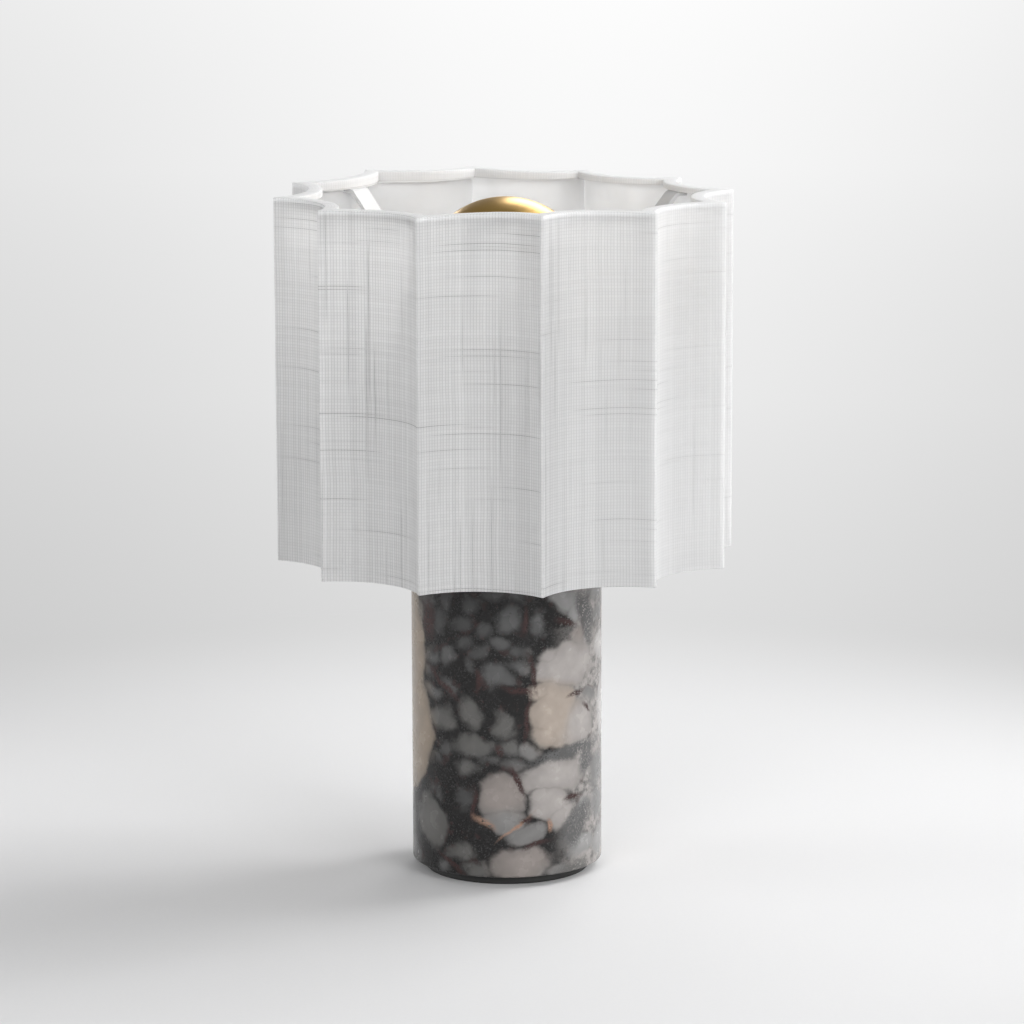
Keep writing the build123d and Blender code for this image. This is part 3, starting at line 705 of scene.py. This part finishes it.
    def fit(self, g: Graph, ground: Socket, place: Socket) -> Socket:
        """Fit the clasts together in a ground, each up to where the next one is nearer.

        Args:
            g: The node tree.
            ground: Colour that they lie in.
            place: Millimetres across and up the unrolled face, with 1 as the third part.

        Returns:
            The colour with the clasts in it.
        """
        first, *others = self.clasts
        nearest = first.beyond(g, place)
        colour = g.mix(1.0, ground, first.mineral.value)
        next_nearest = g.math("ADD", nearest, self.face_reach)
        for clast in others:
            beyond = clast.beyond(g, place)
            lead = g.math("SUBTRACT", nearest, beyond)
            colour = g.mix(g.remap(lead, -self.blend, self.blend), colour, clast.mineral.value)
            next_nearest = g.math("MINIMUM", next_nearest, g.math("MAXIMUM", nearest, beyond))
            nearest = g.math("MINIMUM", nearest, beyond)
        gap = g.math("SUBTRACT", next_nearest, nearest)
        sunk = g.math("SUBTRACT", g.grain(place, self.depth_size), 0.5)
        nearest = g.math("MULTIPLY_ADD", sunk, self.depth, nearest)
        near_edge = g.remap(nearest, *self.seam_depth, self.seam_faint, 1.0)
        seam = g.times(g.remap(gap, 0.0, self.seam, self.seam_share, 0.0), near_edge)
        colour = g.mix(seam, colour, ground)
        colour = g.shaded(colour, g.remap(nearest, *self.heart, *self.heart_tone))
        colour = g.mix(g.remap(nearest, *self.glow), colour, ground)
        fringe = g.math("SUBTRACT", g.remap(nearest, *self.fringe_in),
                        g.remap(nearest, *self.fringe_out))
        fringe = g.times(fringe, g.times(self.fringe.at(g, place), self.fringe_share))
        return g.mix(fringe, colour, Mineral.MAROON.value)

    def lay(self, g: Graph, ground: Socket, place: Socket) -> Socket:
        """Lay the veins over the clasts, broken up by the stone's own crystals.

        Args:
            g: The node tree.
            ground: Colour that they lie on.
            place: Millimetres across and up the unrolled face, with 1 as the third part.

        Returns:
            The colour with the veins on it.
        """
        colour = ground
        feather = self.feather.at(g, place)
        for vein in self.veins:
            share = g.times(g.remap(vein.beyond(g, place), *self.vein_band, 1.0, 0.0), feather)
            colour = g.mix(share, colour, vein.mineral.value)
        return colour

    def ground(self, g: Graph, point: Socket) -> Socket:
        """Charcoal ground with fine crystals and rusty specks.

        Args:
            g: The node tree.
            point: Millimetres in the lamp's own frame.

        Returns:
            Its colour.
        """
        colour = g.mix(self.crystals.at(g, point), Mineral.CHARCOAL.value, Mineral.GHOST.value)
        colour = g.mix(self.murk.at(g, point, self.murk_share), colour, Mineral.CHARCOAL.value)
        rust = g.times(self.specks.at(g, point), self.speck_share)
        return g.mix(rust, colour, Mineral.MAROON.value)

    def bed(self, g: Graph, ground: Socket, point: Socket, across: Socket) -> Socket:
        """The ground as it turns pale and mottled towards the right of the face.

        Args:
            g: The node tree.
            ground: Colour of the charcoal ground.
            point: Millimetres in the lamp's own frame.
            across: Millimetres across the unrolled face.

        Returns:
            The colour of the bed that the clasts of the face lie in.
        """
        mottled = g.mix(self.mottle.at(g, point), Mineral.GREY.value, Mineral.WHITE.value)
        pale = g.times(g.remap(across, *self.pale_front), g.remap(across, *self.pale_back, 1.0, 0.0))
        return g.mix(pale, ground, mottled)

    def scatter(self, g: Graph, ground: Socket, place: Socket, size: float, keep: float,
                *minerals: Mineral) -> Socket:
        """Random clasts, for the sides and the back of the column.

        Args:
            g: The node tree.
            ground: Colour that they lie in.
            place: Millimetres in the lamp's own frame.
            size: Size of a clast.
            keep: Share of the cells that hold a clast.
            minerals: What the clasts are made of.

        Returns:
            The colour with the clasts in it.
        """
        inputs = {"Vector": place, "Scale": 1.0 / size}
        cell = g.add("ShaderNodeTexVoronoi", inputs, feature="F1").outputs
        border = g.add("ShaderNodeTexVoronoi", inputs, feature="DISTANCE_TO_EDGE").outputs["Distance"]
        chance, kind, _ = g.split(cell["Color"])
        inside = g.times(g.remap(border, 0.0, self.cell_rim), g.math("LESS_THAN", chance, keep))
        soft = self.cell_reach - self.soft_edge / size
        inside = g.times(inside, g.remap(cell["Distance"], soft, self.cell_reach, 1.0, 0.0))
        stone = minerals[0].value
        for step, mineral in enumerate(minerals[1:], start=1):
            stone = g.mix(g.math("GREATER_THAN", kind, step / len(minerals)), stone, mineral.value)
        return g.mix(inside, ground, stone)

    def surface(self, g: Graph) -> Socket:
        """Build the finish's shader.

        Args:
            g: The node tree.

        Returns:
            The shader.
        """
        point = g.vector("MULTIPLY", g.point(), (1.0 / MM,) * 3)
        stray = g.vector("ADD", g.drift(point, self.swirl_size, self.swirl, detail=0.0),
                         g.drift(point, self.fray_size, self.fray))
        x, y, z = g.split(point)
        across = g.times(g.math("ARCTAN2", x, g.times(y, -1.0)), self.radius / MM)
        face = g.vector("ADD", g.join(across, z, 1.0), g.vector("MULTIPLY", stray, (1.0, 1.0, 0.0)))
        place = g.vector("ADD", point, stray)
        bed = self.bed(g, self.ground(g, point), point, across)
        around = self.scatter(g, bed, place, self.small_size, self.small_share,
                              Mineral.GHOST, Mineral.DIM, Mineral.GREY)
        around = self.scatter(g, around, g.vector("ADD", place, self.large_shift), self.large_size,
                              self.large_share, Mineral.WHITE, Mineral.CREAM, Mineral.PALE, Mineral.ROSE)
        stray_edge = g.math("SUBTRACT", g.grain(point, self.ragged_size, detail=3.0), 0.5)
        outward = g.math("MULTIPLY_ADD", stray_edge, self.ragged, g.math("ABSOLUTE", across))
        beside = g.remap(outward, self.face_reach, self.face_reach + self.fade)
        above = g.remap(z, self.face_top, self.face_top + self.fade)
        bed = g.mix(g.math("MAXIMUM", beside, above), bed, around)
        colour = self.lay(g, self.fit(g, bed, face), face)
        cloud = g.grain(point, self.cloud_size, detail=3.0)
        colour = g.shaded(colour, g.remap(cloud, *self.cloud_band, *self.cloud_tone))
        normal = g.bump(self.pores.at(g, point), self.pore_depth, 0.5)
        return g.shader("Principled", base_color=colour, roughness=g.remap(cloud, *MIDDLE, *self.gloss),
                        specular_ior_level=0.30, normal=normal)


@dataclass(frozen=True)
class SpunMetal(Finish):
    """Metal turned or spun about the lamp's axis, with fine rings and a satin polish."""

    name: str
    colour: Colour
    worn: Colour
    roughness: float = 0.33
    uneven: float = 0.06
    smoother: float = 0.08
    ring_width: float = 0.12 * MM
    ring_depth: float = 0.0003 * MM
    patina_size: float = 9.0 * MM
    patina_band: Band = (0.35, 0.70)

    def surface(self, g: Graph) -> Socket:
        """Build the finish's shader.

        Args:
            g: The node tree.

        Returns:
            The shader.
        """
        point = g.point()
        x, y, z = g.split(point)
        out = g.math("SQRT", g.math("ADD", g.times(x, x), g.times(y, y)))
        rings = g.grain(g.join(out, z), self.ring_width)
        patina = g.grain(point, self.patina_size, detail=4.0)
        colour = g.mix(g.remap(patina, *self.patina_band), self.colour, self.worn)
        gloss = g.math("ADD", g.times(rings, self.uneven), g.times(patina, self.uneven))
        return g.shader("Principled", base_color=colour, metallic=1.0,
                        roughness=g.math("ADD", gloss, self.roughness - self.smoother),
                        normal=g.bump(rings, self.ring_depth))


@dataclass(frozen=True)
class Coat(Finish):
    """Coated, moulded or plated skin with a fine grain."""

    name: str
    colour: Colour
    shade: Colour
    roughness: float = 0.45
    metallic: float = 0.0
    uneven: float = 0.05
    grain_size: float = 0.5 * MM
    grain_depth: float = 0.02 * MM
    cloud_size: float = 12.0 * MM
    cloud_band: Band = (0.35, 0.65)

    def surface(self, g: Graph) -> Socket:
        """Build the finish's shader.

        Args:
            g: The node tree.

        Returns:
            The shader.
        """
        point = g.point()
        peel = g.grain(point, self.grain_size, detail=3.0)
        cloud = g.grain(point, self.cloud_size, detail=3.0)
        colour = g.mix(g.remap(cloud, *self.cloud_band), self.colour, self.shade)
        gloss = g.remap(cloud, *MIDDLE, self.roughness - self.uneven, self.roughness + self.uneven)
        return g.shader("Principled", base_color=colour, metallic=self.metallic, roughness=gloss,
                        normal=g.bump(peel, self.grain_depth))


@dataclass(frozen=True)
class CircuitBoard(Finish):
    """Lacquered circuit board with copper tracks under its mask."""

    name: str
    mask: Colour
    track: Colour
    track_size: float = 3.2 * MM
    track_band: Band = (0.42, 0.48)
    weave_size: float = 0.4 * MM
    weave: float = 0.3
    relief: float = 0.02 * MM

    def surface(self, g: Graph) -> Socket:
        """Build the finish's shader.

        Args:
            g: The node tree.

        Returns:
            The shader.
        """
        point = g.point()
        inputs = {"Vector": point, "Scale": 1.0 / self.track_size}
        cell = g.add("ShaderNodeTexVoronoi", inputs, feature="F1", distance="MANHATTAN")
        track = g.remap(cell.outputs["Distance"], *self.track_band)
        height = g.math("MULTIPLY_ADD", g.grain(point, self.weave_size), self.weave, track)
        return g.shader("Principled", base_color=g.mix(track, self.mask, self.track), roughness=0.35,
                        normal=g.bump(height, self.relief))


def dress(finish: Finish, *nodes: str) -> None:
    """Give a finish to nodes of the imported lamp.

    Args:
        finish: The finish, made once for all of them.
        nodes: The nodes' names.
    """
    material = finish.material()
    for name in nodes:
        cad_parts[name].material_slots[0].material = material
        log.info("%s: %s", name, finish.name)


def numbered(stem: str, count: int, digits: int) -> list[str]:
    """Names of a row of nodes, from 1."""
    return [f"{stem}_{number:0{digits}d}" for number in range(1, count + 1)]


@dataclass
class Shade:
    """Fluted shade: linen wrapped over two flat rings, stiffened by film, on a carrier of three arms."""

    ridge_radius: float = 91.2 * MM
    flute_count: int = 12
    flute_depth: float = 10.5 * MM
    front_turn: float = math.radians(8.7)
    ridge_round: float = 0.9 * MM
    least_round: float = 0.05 * MM
    cloth: float = 0.45 * MM
    hem_reach: float = 5.6 * MM
    hem_leg: float = 2.2 * MM
    fold: float = 0.5 * MM
    flute_steps: int = 28
    ridge_steps: int = 6
    fold_steps: int = 4
    row_height: float = 3.6 * MM
    sway: float = 0.16 * MM
    sway_size: float = 22.0 * MM
    rim_waves: tuple[tuple[float, float, float], ...] = ((8.7, 24.0, 1.5 * MM), (-145.0, 45.0, 2.2 * MM))
    rim_wave_reach: float = 30.0 * MM
    hem_wave_reach: float = 3.3 * MM
    sharp_angle: float = math.radians(50.0)
    arm_count: int = 3
    linen: Linen = Linen()
    film: Milky = Milky("backing_film", face=(0.97, 0.97, 0.97), through=(0.98, 0.98, 0.98),
                        see_through=0.85, cloud_size=14.0 * MM, cloud_tone=(0.96, 1.0),
                        gloss=(0.45, 0.55), grain_size=0.6 * MM, grain_depth=0.02 * MM,
                        clouded_through=True)
    white: Coat = Coat("white_powder_coat", (0.66, 0.66, 0.66), (0.63, 0.63, 0.63))
    rim: Coat = Coat("white_primer", (0.80, 0.80, 0.80), (0.76, 0.76, 0.76))
    slip: Coat = Coat("slip_nylon", (0.78, 0.78, 0.75), (0.72, 0.72, 0.69))

    @property
    def half_step(self) -> float:
        """Half the angle from ridge to ridge."""
        return math.pi / self.flute_count

    @property
    def flute_radius(self) -> float:
        """Radius of the arc that a flute follows."""
        half_chord = self.ridge_radius * math.sin(self.half_step)
        return (half_chord ** 2 + self.flute_depth ** 2) / (2.0 * self.flute_depth)

    @property
    def centre_reach(self) -> float:
        """How far from the axis that arc has its centre."""
        return self.ridge_radius * math.cos(self.half_step) - self.flute_depth + self.flute_radius

    def outline(self, inset: float) -> list[Vector]:
        """Fluted outline at a depth behind the face of the cloth.

        Args:
            inset: The depth.

        Returns:
            Points round the axis, as many at each depth.
        """
        turn = max(self.ridge_round - inset, self.least_round)
        radius = self.flute_radius + inset
        lead = self.centre_reach * math.cos(self.half_step)
        side = self.centre_reach * math.sin(self.half_step)
        ridge_centre = lead - math.sqrt((radius + turn) ** 2 - side ** 2)
        spread = math.atan2(side, lead - ridge_centre)
        swing = math.asin(ridge_centre * math.sin(self.half_step) / (radius + turn))
        points = []
        for number in range(self.flute_count):
            ridge = self.front_turn - math.pi / 2.0 + 2.0 * self.half_step * number
            flute = ridge + self.half_step
            for step in range(self.ridge_steps + 1):
                angle = ridge + spread * (2.0 * step / self.ridge_steps - 1.0)
                points.append(ridge_centre * heading(ridge) + turn * heading(angle))
            for step in range(1, self.flute_steps):
                angle = flute + math.pi + swing * (1.0 - 2.0 * step / self.flute_steps)
                points.append(self.centre_reach * heading(flute) + radius * heading(angle))
        return points

    def section(self, low: float, high: float) -> list[tuple[float, float]]:
        """Cut through the cloth from hem to hem and back along its inner face.

        Args:
            low: Height of the lower rim.
            high: Height of the upper rim.

        Returns:
            Closed list of depths and heights.
        """
        inner = self.cloth
        leg = self.hem_reach - self.cloth
        outer_face = [(self.hem_reach, high - self.hem_leg), (self.hem_reach, high), (0.0, high),
                      (0.0, low), (self.hem_reach, low), (self.hem_reach, low + self.hem_leg)]
        inner_face = [(leg, low + self.hem_leg), (leg, low + inner), (inner, low + inner),
                      (inner, high - inner), (leg, high - inner), (leg, high - self.hem_leg)]
        return self.folded(outer_face, self.fold) + self.folded(inner_face, self.fold / 4.0)

    def folded(self, corners: list[tuple[float, float]], radius: float) -> list[tuple[float, float]]:
        """Round the corners of an open line and divide its long runs.

        Args:
            corners: The line's points.
            radius: Radius at each corner.

        Returns:
            The finer line.
        """
        line = [Vector(corners[0])]
        for before, corner, after in zip(corners, corners[1:], corners[2:]):
            here = Vector(corner)
            back = (Vector(before) - here).normalized()
            ahead = (Vector(after) - here).normalized()
            centre = here + radius * (back + ahead)
            for step in range(self.fold_steps + 1):
                swing = math.pi / 2.0 * step / self.fold_steps
                line.append(centre - radius * (ahead * math.cos(swing) + back * math.sin(swing)))
        line.append(Vector(corners[-1]))
        fine = [line[0]]
        for start, end in zip(line, line[1:]):
            parts = max(1, round((end - start).length / self.row_height))
            fine.extend(start.lerp(end, part / parts) for part in range(1, parts + 1))
        return [tuple(point) for point in fine]

    def build(self) -> bpy.types.Object:
        """Build the cloth as one closed skin, with its threads mapped in metres.

        Returns:
            The cloth.
        """
        low, high = (corner.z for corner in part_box("shade_fabric"))
        rows = self.section(low, high)
        outlines = [self.outline(inset) for inset, _ in rows]
        count = len(outlines[0])
        face = self.outline(0.0)
        along = [0.0]
        for start, end in zip(face, face[1:] + face[:1]):
            along.append(along[-1] + (end - start).length)
        down = [0.0]
        for start, end in zip(rows, rows[1:] + rows[:1]):
            down.append(down[-1] + (Vector(end) - Vector(start)).length)
        threads = round(along[-1] / self.linen.thread_pitch)
        stretch = threads * self.linen.thread_pitch / along[-1]
        points = [self.swayed(flat, row, high)
                  for outline, row in zip(outlines, rows) for flat in outline]
        faces, places = [], []
        for row in range(len(rows)):
            below = (row + 1) % len(rows)
            for column in range(count):
                beside = (column + 1) % count
                faces.append((row * count + column, row * count + beside,
                              below * count + beside, below * count + column))
                left, right = along[column] * stretch, along[column + 1] * stretch
                places.extend((left, down[row], right, down[row],
                               right, down[row + 1], left, down[row + 1]))
        mesh = bpy.data.meshes.new("shade_cloth")
        mesh.from_pydata(points, [], faces)
        mesh.uv_layers.new(name=THREAD_MAP)
        mesh.uv_layers[THREAD_MAP].data.foreach_set("uv", places)
        mesh.shade_smooth()
        mesh.set_sharp_from_angle(angle=self.sharp_angle)
        cloth = bpy.data.objects.new("shade_cloth", mesh)
        bpy.context.scene.collection.objects.link(cloth)
        cloth.data.materials.append(replace(self.linen, girth=along[-1]).material())
        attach(cloth, Body.SHADE.value)
        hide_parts("shade_fabric", "top_binding", "bottom_binding")
        return cloth

    def swayed(self, flat: Vector, row: tuple[float, float], high: float) -> Vector:
        """A point of the cloth, eased outward and with its rim in low waves, as hand-stretched linen is.

        Args:
            flat: Where it is round the axis.
            row: How deep behind the face and how high it is.
            high: Height of the upper rim.

        Returns:
            The point.
        """
        inset, height = row
        point = Vector((flat.x, flat.y, height))
        ease = self.sway * (0.5 + 0.5 * noise.noise(point / self.sway_size))
        reach = self.rim_wave_reach if inset < self.hem_reach / 2.0 else self.hem_wave_reach
        near_rim = max(0.0, 1.0 - (high - height) / reach)
        lift = 0.0
        for turn, width, rise in self.rim_waves:
            aside = math.remainder(math.degrees(math.atan2(flat.x, -flat.y)) - turn, 360.0)
            lift += rise * math.exp(-(aside / width) ** 2)
        outward = Vector((flat.x, flat.y, 0.0)).normalized()
        return point + ease * outward + Vector((0.0, 0.0, lift * near_rim))

    def dress(self) -> None:
        """Finish the parts that carry the cloth."""
        dress(self.white, "carrier_ring", *numbered("carrier_arm", self.arm_count, 1))
        dress(self.rim, "top_ring", "bottom_ring")
        dress(self.film, *numbered("backing_panel", self.flute_count, 2))
        dress(self.slip, "slip_washer", "guide_bush")


def heading(angle: float) -> Vector:
    """Unit vector at an angle round the axis."""
    return Vector((math.cos(angle), math.sin(angle)))


@dataclass
class Column:
    """Stone column with its foot, seals, end discs and tie rods."""

    stone: Breccia = Breccia()
    foot: Coat = Coat("foot_rubber", (0.018, 0.018, 0.018), (0.026, 0.026, 0.025), roughness=0.70,
                      grain_size=0.35 * MM, grain_depth=0.03 * MM)
    seal: Coat = Coat("seal_rubber", (0.030, 0.030, 0.031), (0.040, 0.040, 0.040), roughness=0.62)
    plate: Coat = Coat("zinc_plated_steel", (0.56, 0.57, 0.58), (0.48, 0.49, 0.51), roughness=0.34,
                       metallic=1.0)
    cap: SpunMetal = SpunMetal("turned_aluminium", (0.74, 0.75, 0.76), (0.66, 0.67, 0.68), roughness=0.30)

    def dress(self) -> None:
        """Finish the column's parts."""
        dress(self.stone, "stone_base")
        dress(self.foot, "foot_pad")
        dress(self.seal, "base_gasket", "cap_gasket", "diffuser_gasket")
        dress(self.plate, "base_plate", "tie_rods", "tie_nuts", "neck_tube", "neck_nuts", "led_screws",
              "switch_screws", "guide_screws", "cell_contacts")
        dress(self.cap, "column_cap")


@dataclass
class Power:
    """Charging board, socket, cells and wires inside the column."""

    board: CircuitBoard = CircuitBoard("green_board", (0.012, 0.10, 0.045), (0.03, 0.17, 0.07))
    holder: Coat = Coat("holder_plastic", (0.030, 0.030, 0.032), (0.040, 0.040, 0.042), roughness=0.50)
    bezel: Coat = Coat("bezel_plastic", (0.020, 0.020, 0.021), (0.027, 0.027, 0.028), roughness=0.42)
    socket: Coat = Coat("socket_steel", (0.62, 0.62, 0.63), (0.55, 0.55, 0.57), roughness=0.28,
                        metallic=1.0, grain_depth=0.006 * MM)
    wrap: Coat = Coat("cell_wrap", (0.05, 0.20, 0.36), (0.045, 0.17, 0.31), roughness=0.32,
                      grain_size=2.5 * MM)
    loom: Coat = Coat("loom_sleeve", (0.025, 0.025, 0.026), (0.045, 0.045, 0.046), roughness=0.60,
                      grain_size=0.9 * MM, grain_depth=0.15 * MM)
    cell_count: int = 3

    def dress(self) -> None:
        """Finish the power parts."""
        dress(self.board, "charge_board", "switch_board")
        dress(self.holder, "cell_holder_lower", "cell_holder_upper", "board_spacers", "tact_switch")
        dress(self.bezel, "port_bezel")
        dress(self.socket, "usb_receptacle")
        dress(self.wrap, *numbered("cell", self.cell_count, 1))
        dress(self.loom, "wire_loom")


@dataclass
class Head:
    """Brass head and push dome, with the opal light tube under them."""

    brass: SpunMetal = SpunMetal("satin_brass", (0.74, 0.47, 0.14), (0.69, 0.43, 0.12))
    opal: Milky = Milky("opal_acrylic", face=(0.86, 0.86, 0.84), through=(0.90, 0.89, 0.86),
                        see_through=0.45, cloud_size=6.0 * MM, cloud_tone=(0.97, 1.0), gloss=(0.30, 0.38),
                        grain_size=0.8 * MM, grain_depth=0.006 * MM)
    board: CircuitBoard = CircuitBoard("white_board", (0.78, 0.78, 0.76), (0.66, 0.66, 0.64))
    phosphor: Coat = Coat("emitter_phosphor", (0.82, 0.62, 0.10), (0.78, 0.56, 0.08), roughness=0.40)
    steel: Coat = Coat("spring_steel", (0.42, 0.42, 0.43), (0.36, 0.36, 0.37), roughness=0.25,
                       metallic=1.0, grain_depth=0.006 * MM)
    press_travel: float = 1.2 * MM

    def build(self) -> bpy.types.Object:
        """Build the return spring as a piece of its own that rides on the base, in place of the imported
        one.

        Returns:
            The spring.
        """
        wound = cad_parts["return_spring"]
        coil = bpy.data.objects.new("return_coil", wound.data.copy())
        coil.matrix_world = wound.matrix_world.copy()
        bpy.context.scene.collection.objects.link(coil)
        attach(coil, Body.BASE.value)
        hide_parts("return_spring")
        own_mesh(coil)
        return coil

    def dress(self) -> None:
        """Finish the head's parts."""
        dress(self.brass, "head_body", "dome_cap", "dome_post")
        dress(self.opal, "diffuser")
        dress(self.board, "led_board")
        dress(self.phosphor, "led_emitters")
        dress(self.steel, "return_spring", "guide_plate", "retaining_clip")


@dataclass(frozen=True)
class Softbox:
    """A soft light turned to the lamp, placed by its angles round and above it."""

    name: str
    turn: float
    rise: float
    reach: float
    size: tuple[float, float]
    power: float

    def build(self, aim: Vector) -> None:
        """Build the light.

        Args:
            aim: The spot that it is turned to.
        """
        light = bpy.data.lights.new(self.name, "AREA")
        light.shape = "RECTANGLE"
        light.size, light.size_y = self.size
        light.energy = self.power
        box = bpy.data.objects.new(self.name, light)
        rise = math.radians(self.rise)
        level = math.cos(rise) * heading(math.radians(self.turn))
        place = aim + self.reach * Vector((level.x, level.y, math.sin(rise)))
        box.location = place
        box.rotation_euler = (aim - place).to_track_quat("-Z", "Y").to_euler()
        box.visible_camera = False
        bpy.context.scene.collection.objects.link(box)


@dataclass
class Studio:
    """Pale floor, soft lights and the camera."""

    floor_radius: float = 9.0
    floor_sides: int = 96
    floor_rings: tuple[float, ...] = (0.15, 0.3, 0.6, 1.2, 2.5, 5.0, 9.0)
    near: Colour = (0.71, 0.71, 0.715)
    far_band: Band = (0.22, 0.50)
    far_ramp: tuple[tuple[float, int], ...] = ((0.45, 221), (1.2, 236), (2.7, 248), (6.5, 255))
    far_middle: float = 0.03
    far_spread: float = 0.24
    far_dim: float = 0.82
    far_depth: float = 1.5
    fibre_size: float = 1.4 * MM
    fibre_tone: Band = (0.99, 1.0)
    ambient: float = 0.24
    horizon: float = 0.40
    horizon_band: Band = (0.02, 0.38)
    aim: tuple[float, float, float] = (0.0, 0.0, 0.14)
    lights: tuple[Softbox, ...] = (
        Softbox("key_softbox", 28.0, 20.0, 2.6, (0.9, 1.2), 32.0),
        Softbox("side_softbox", 0.0, 12.0, 2.6, (1.2, 0.9), 4.0),
        Softbox("back_softbox", 76.0, 30.0, 1.75, (0.7, 0.7), 7.2),
        Softbox("back_left_softbox", 115.0, 8.0, 2.2, (1.0, 0.6), 10.7),
        Softbox("front_right_softbox", -55.0, 18.0, 2.6, (1.4, 1.0), 34.0),
        Softbox("front_left_softbox", -110.0, 25.0, 2.2, (1.0, 0.8), 11.5),
        Softbox("left_softbox", 180.0, 8.0, 2.2, (1.0, 0.6), 14.4),
        Softbox("high_back_softbox", 30.0, 50.0, 1.9, (0.8, 0.8), 11.1),
        Softbox("high_right_softbox", 0.0, 55.0, 1.9, (0.8, 0.8), 6.2),
    )
    camera_place: tuple[float, float, float] = (0.0, -1.6904, 0.4534)
    pitch: float = math.radians(10.425)
    pan: float = math.radians(0.077)
    roll: float = math.radians(-0.168)
    lens: float = 153.68
    sensor: float = 36.0

    def build(self) -> None:
        """Build the whole studio."""
        self.build_floor()
        self.build_world()
        for light in self.lights:
            light.build(Vector(self.aim))
        self.build_camera()
        bpy.context.scene.view_settings.view_transform = "Standard"

    def build_floor(self) -> None:
        """A wide round floor that is only there from above."""
        points = [(0.0, 0.0, 0.0)]
        faces = []
        for ring, radius in enumerate(self.floor_rings):
            for side in range(self.floor_sides):
                spot = radius * heading(2.0 * math.pi * side / self.floor_sides)
                points.append((spot.x, spot.y, 0.0))
                here = 1 + ring * self.floor_sides + side
                beside = 1 + ring * self.floor_sides + (side + 1) % self.floor_sides
                if ring == 0:
                    faces.append((0, here, beside))
                else:
                    faces.append((here - self.floor_sides, here, beside, beside - self.floor_sides))
        mesh = bpy.data.meshes.new("studio_floor")
        mesh.from_pydata(points, [], faces)
        floor = bpy.data.objects.new("studio_floor", mesh)
        bpy.context.scene.collection.objects.link(floor)
        mesh.materials.append(self.floor_paper())

    def floor_paper(self) -> bpy.types.Material:
        """Pale paper that takes the shadow near the lamp and glows softly far behind it.

        Returns:
            The paper.
        """
        g = Graph(bpy.data.materials.new("studio_paper"))
        point = g.point()
        away = g.vector("LENGTH", point)
        fibre = g.remap(g.grain(point, self.fibre_size), *MIDDLE, *self.fibre_tone)
        paper = g.shader("Diffuse", color=g.shaded(self.near, fibre))
        ramp = g.add("ShaderNodeValToRGB", {"Fac": g.math("DIVIDE", away, self.floor_radius)})
        stops = ramp.color_ramp.elements
        while len(stops) < len(self.far_ramp):
            stops.new(1.0)
        for stop, (reach, level) in zip(stops, self.far_ramp):
            stop.position = reach / self.floor_radius
            stop.color = (*tint(level, level, level), 1.0)
        rays = g.add("ShaderNodeLightPath").outputs
        seen = g.math("MAXIMUM", rays["Is Camera Ray"], rays["Is Glossy Ray"])
        seen = g.math("MAXIMUM", seen, rays["Is Transmission Ray"])
        x, _, _ = g.split(point)
        depth = g.math("SQRT", g.math("MULTIPLY_ADD", away, away, self.far_depth ** 2))
        aside = g.math("ABSOLUTE", g.math("SUBTRACT", g.math("DIVIDE", x, depth), self.far_middle))
        dim = g.remap(aside, 0.0, self.far_spread, 1.0, self.far_dim)
        glow = g.add("ShaderNodeEmission", {"Color": ramp.outputs["Color"], "Strength": dim})
        share = g.times(g.remap(away, *self.far_band), seen)
        top = g.blend(share, paper, glow.outputs["Emission"])
        side = g.add("ShaderNodeNewGeometry").outputs["Backfacing"]
        return g.close(g.blend(side, top, g.shader("Transparent")))

    def build_world(self) -> None:
        """Dim room with a pale band round the horizon."""
        g = Graph(bpy.data.worlds.new("studio_room"))
        bpy.context.scene.world = g.owner
        _, _, height = g.split(g.add("ShaderNodeTexCoord").outputs["Generated"])
        strength = g.remap(height, *self.horizon_band, self.horizon, self.ambient)
        background = g.add("ShaderNodeBackground", {"Strength": strength})
        g.add("ShaderNodeOutputWorld", {"Surface": background.outputs["Background"]})

    def build_camera(self) -> None:
        """Camera at the photograph's height, distance and slight tilt."""
        forward = math.cos(self.pitch)
        ahead = Vector((math.sin(self.pan) * forward, math.cos(self.pan) * forward,
                        -math.sin(self.pitch)))
        level = Vector((math.cos(self.pan), -math.sin(self.pan), 0.0))
        upright = level.cross(ahead)
        right = math.cos(self.roll) * level + math.sin(self.roll) * upright
        top = math.cos(self.roll) * upright - math.sin(self.roll) * level
        lens = bpy.data.cameras.new("camera")
        lens.lens = self.lens
        lens.sensor_width = self.sensor
        camera = bpy.data.objects.new("camera", lens)
        turn = Matrix((right, top, -ahead)).transposed()
        camera.matrix_world = Matrix.Translation(self.camera_place) @ turn.to_4x4()
        bpy.context.scene.collection.objects.link(camera)
        bpy.context.scene.camera = camera


def main() -> None:
    """Build and dress the lamp from the floor up, then set the studio round it."""
    logging.basicConfig(level=logging.INFO, format="%(name)s %(message)s")
    Column().dress()
    Power().dress()
    head = Head()
    head.dress()
    head.build()
    shade = Shade()
    shade.build()
    shade.dress()
    Studio().build()


if __name__ == "__main__":
    main()
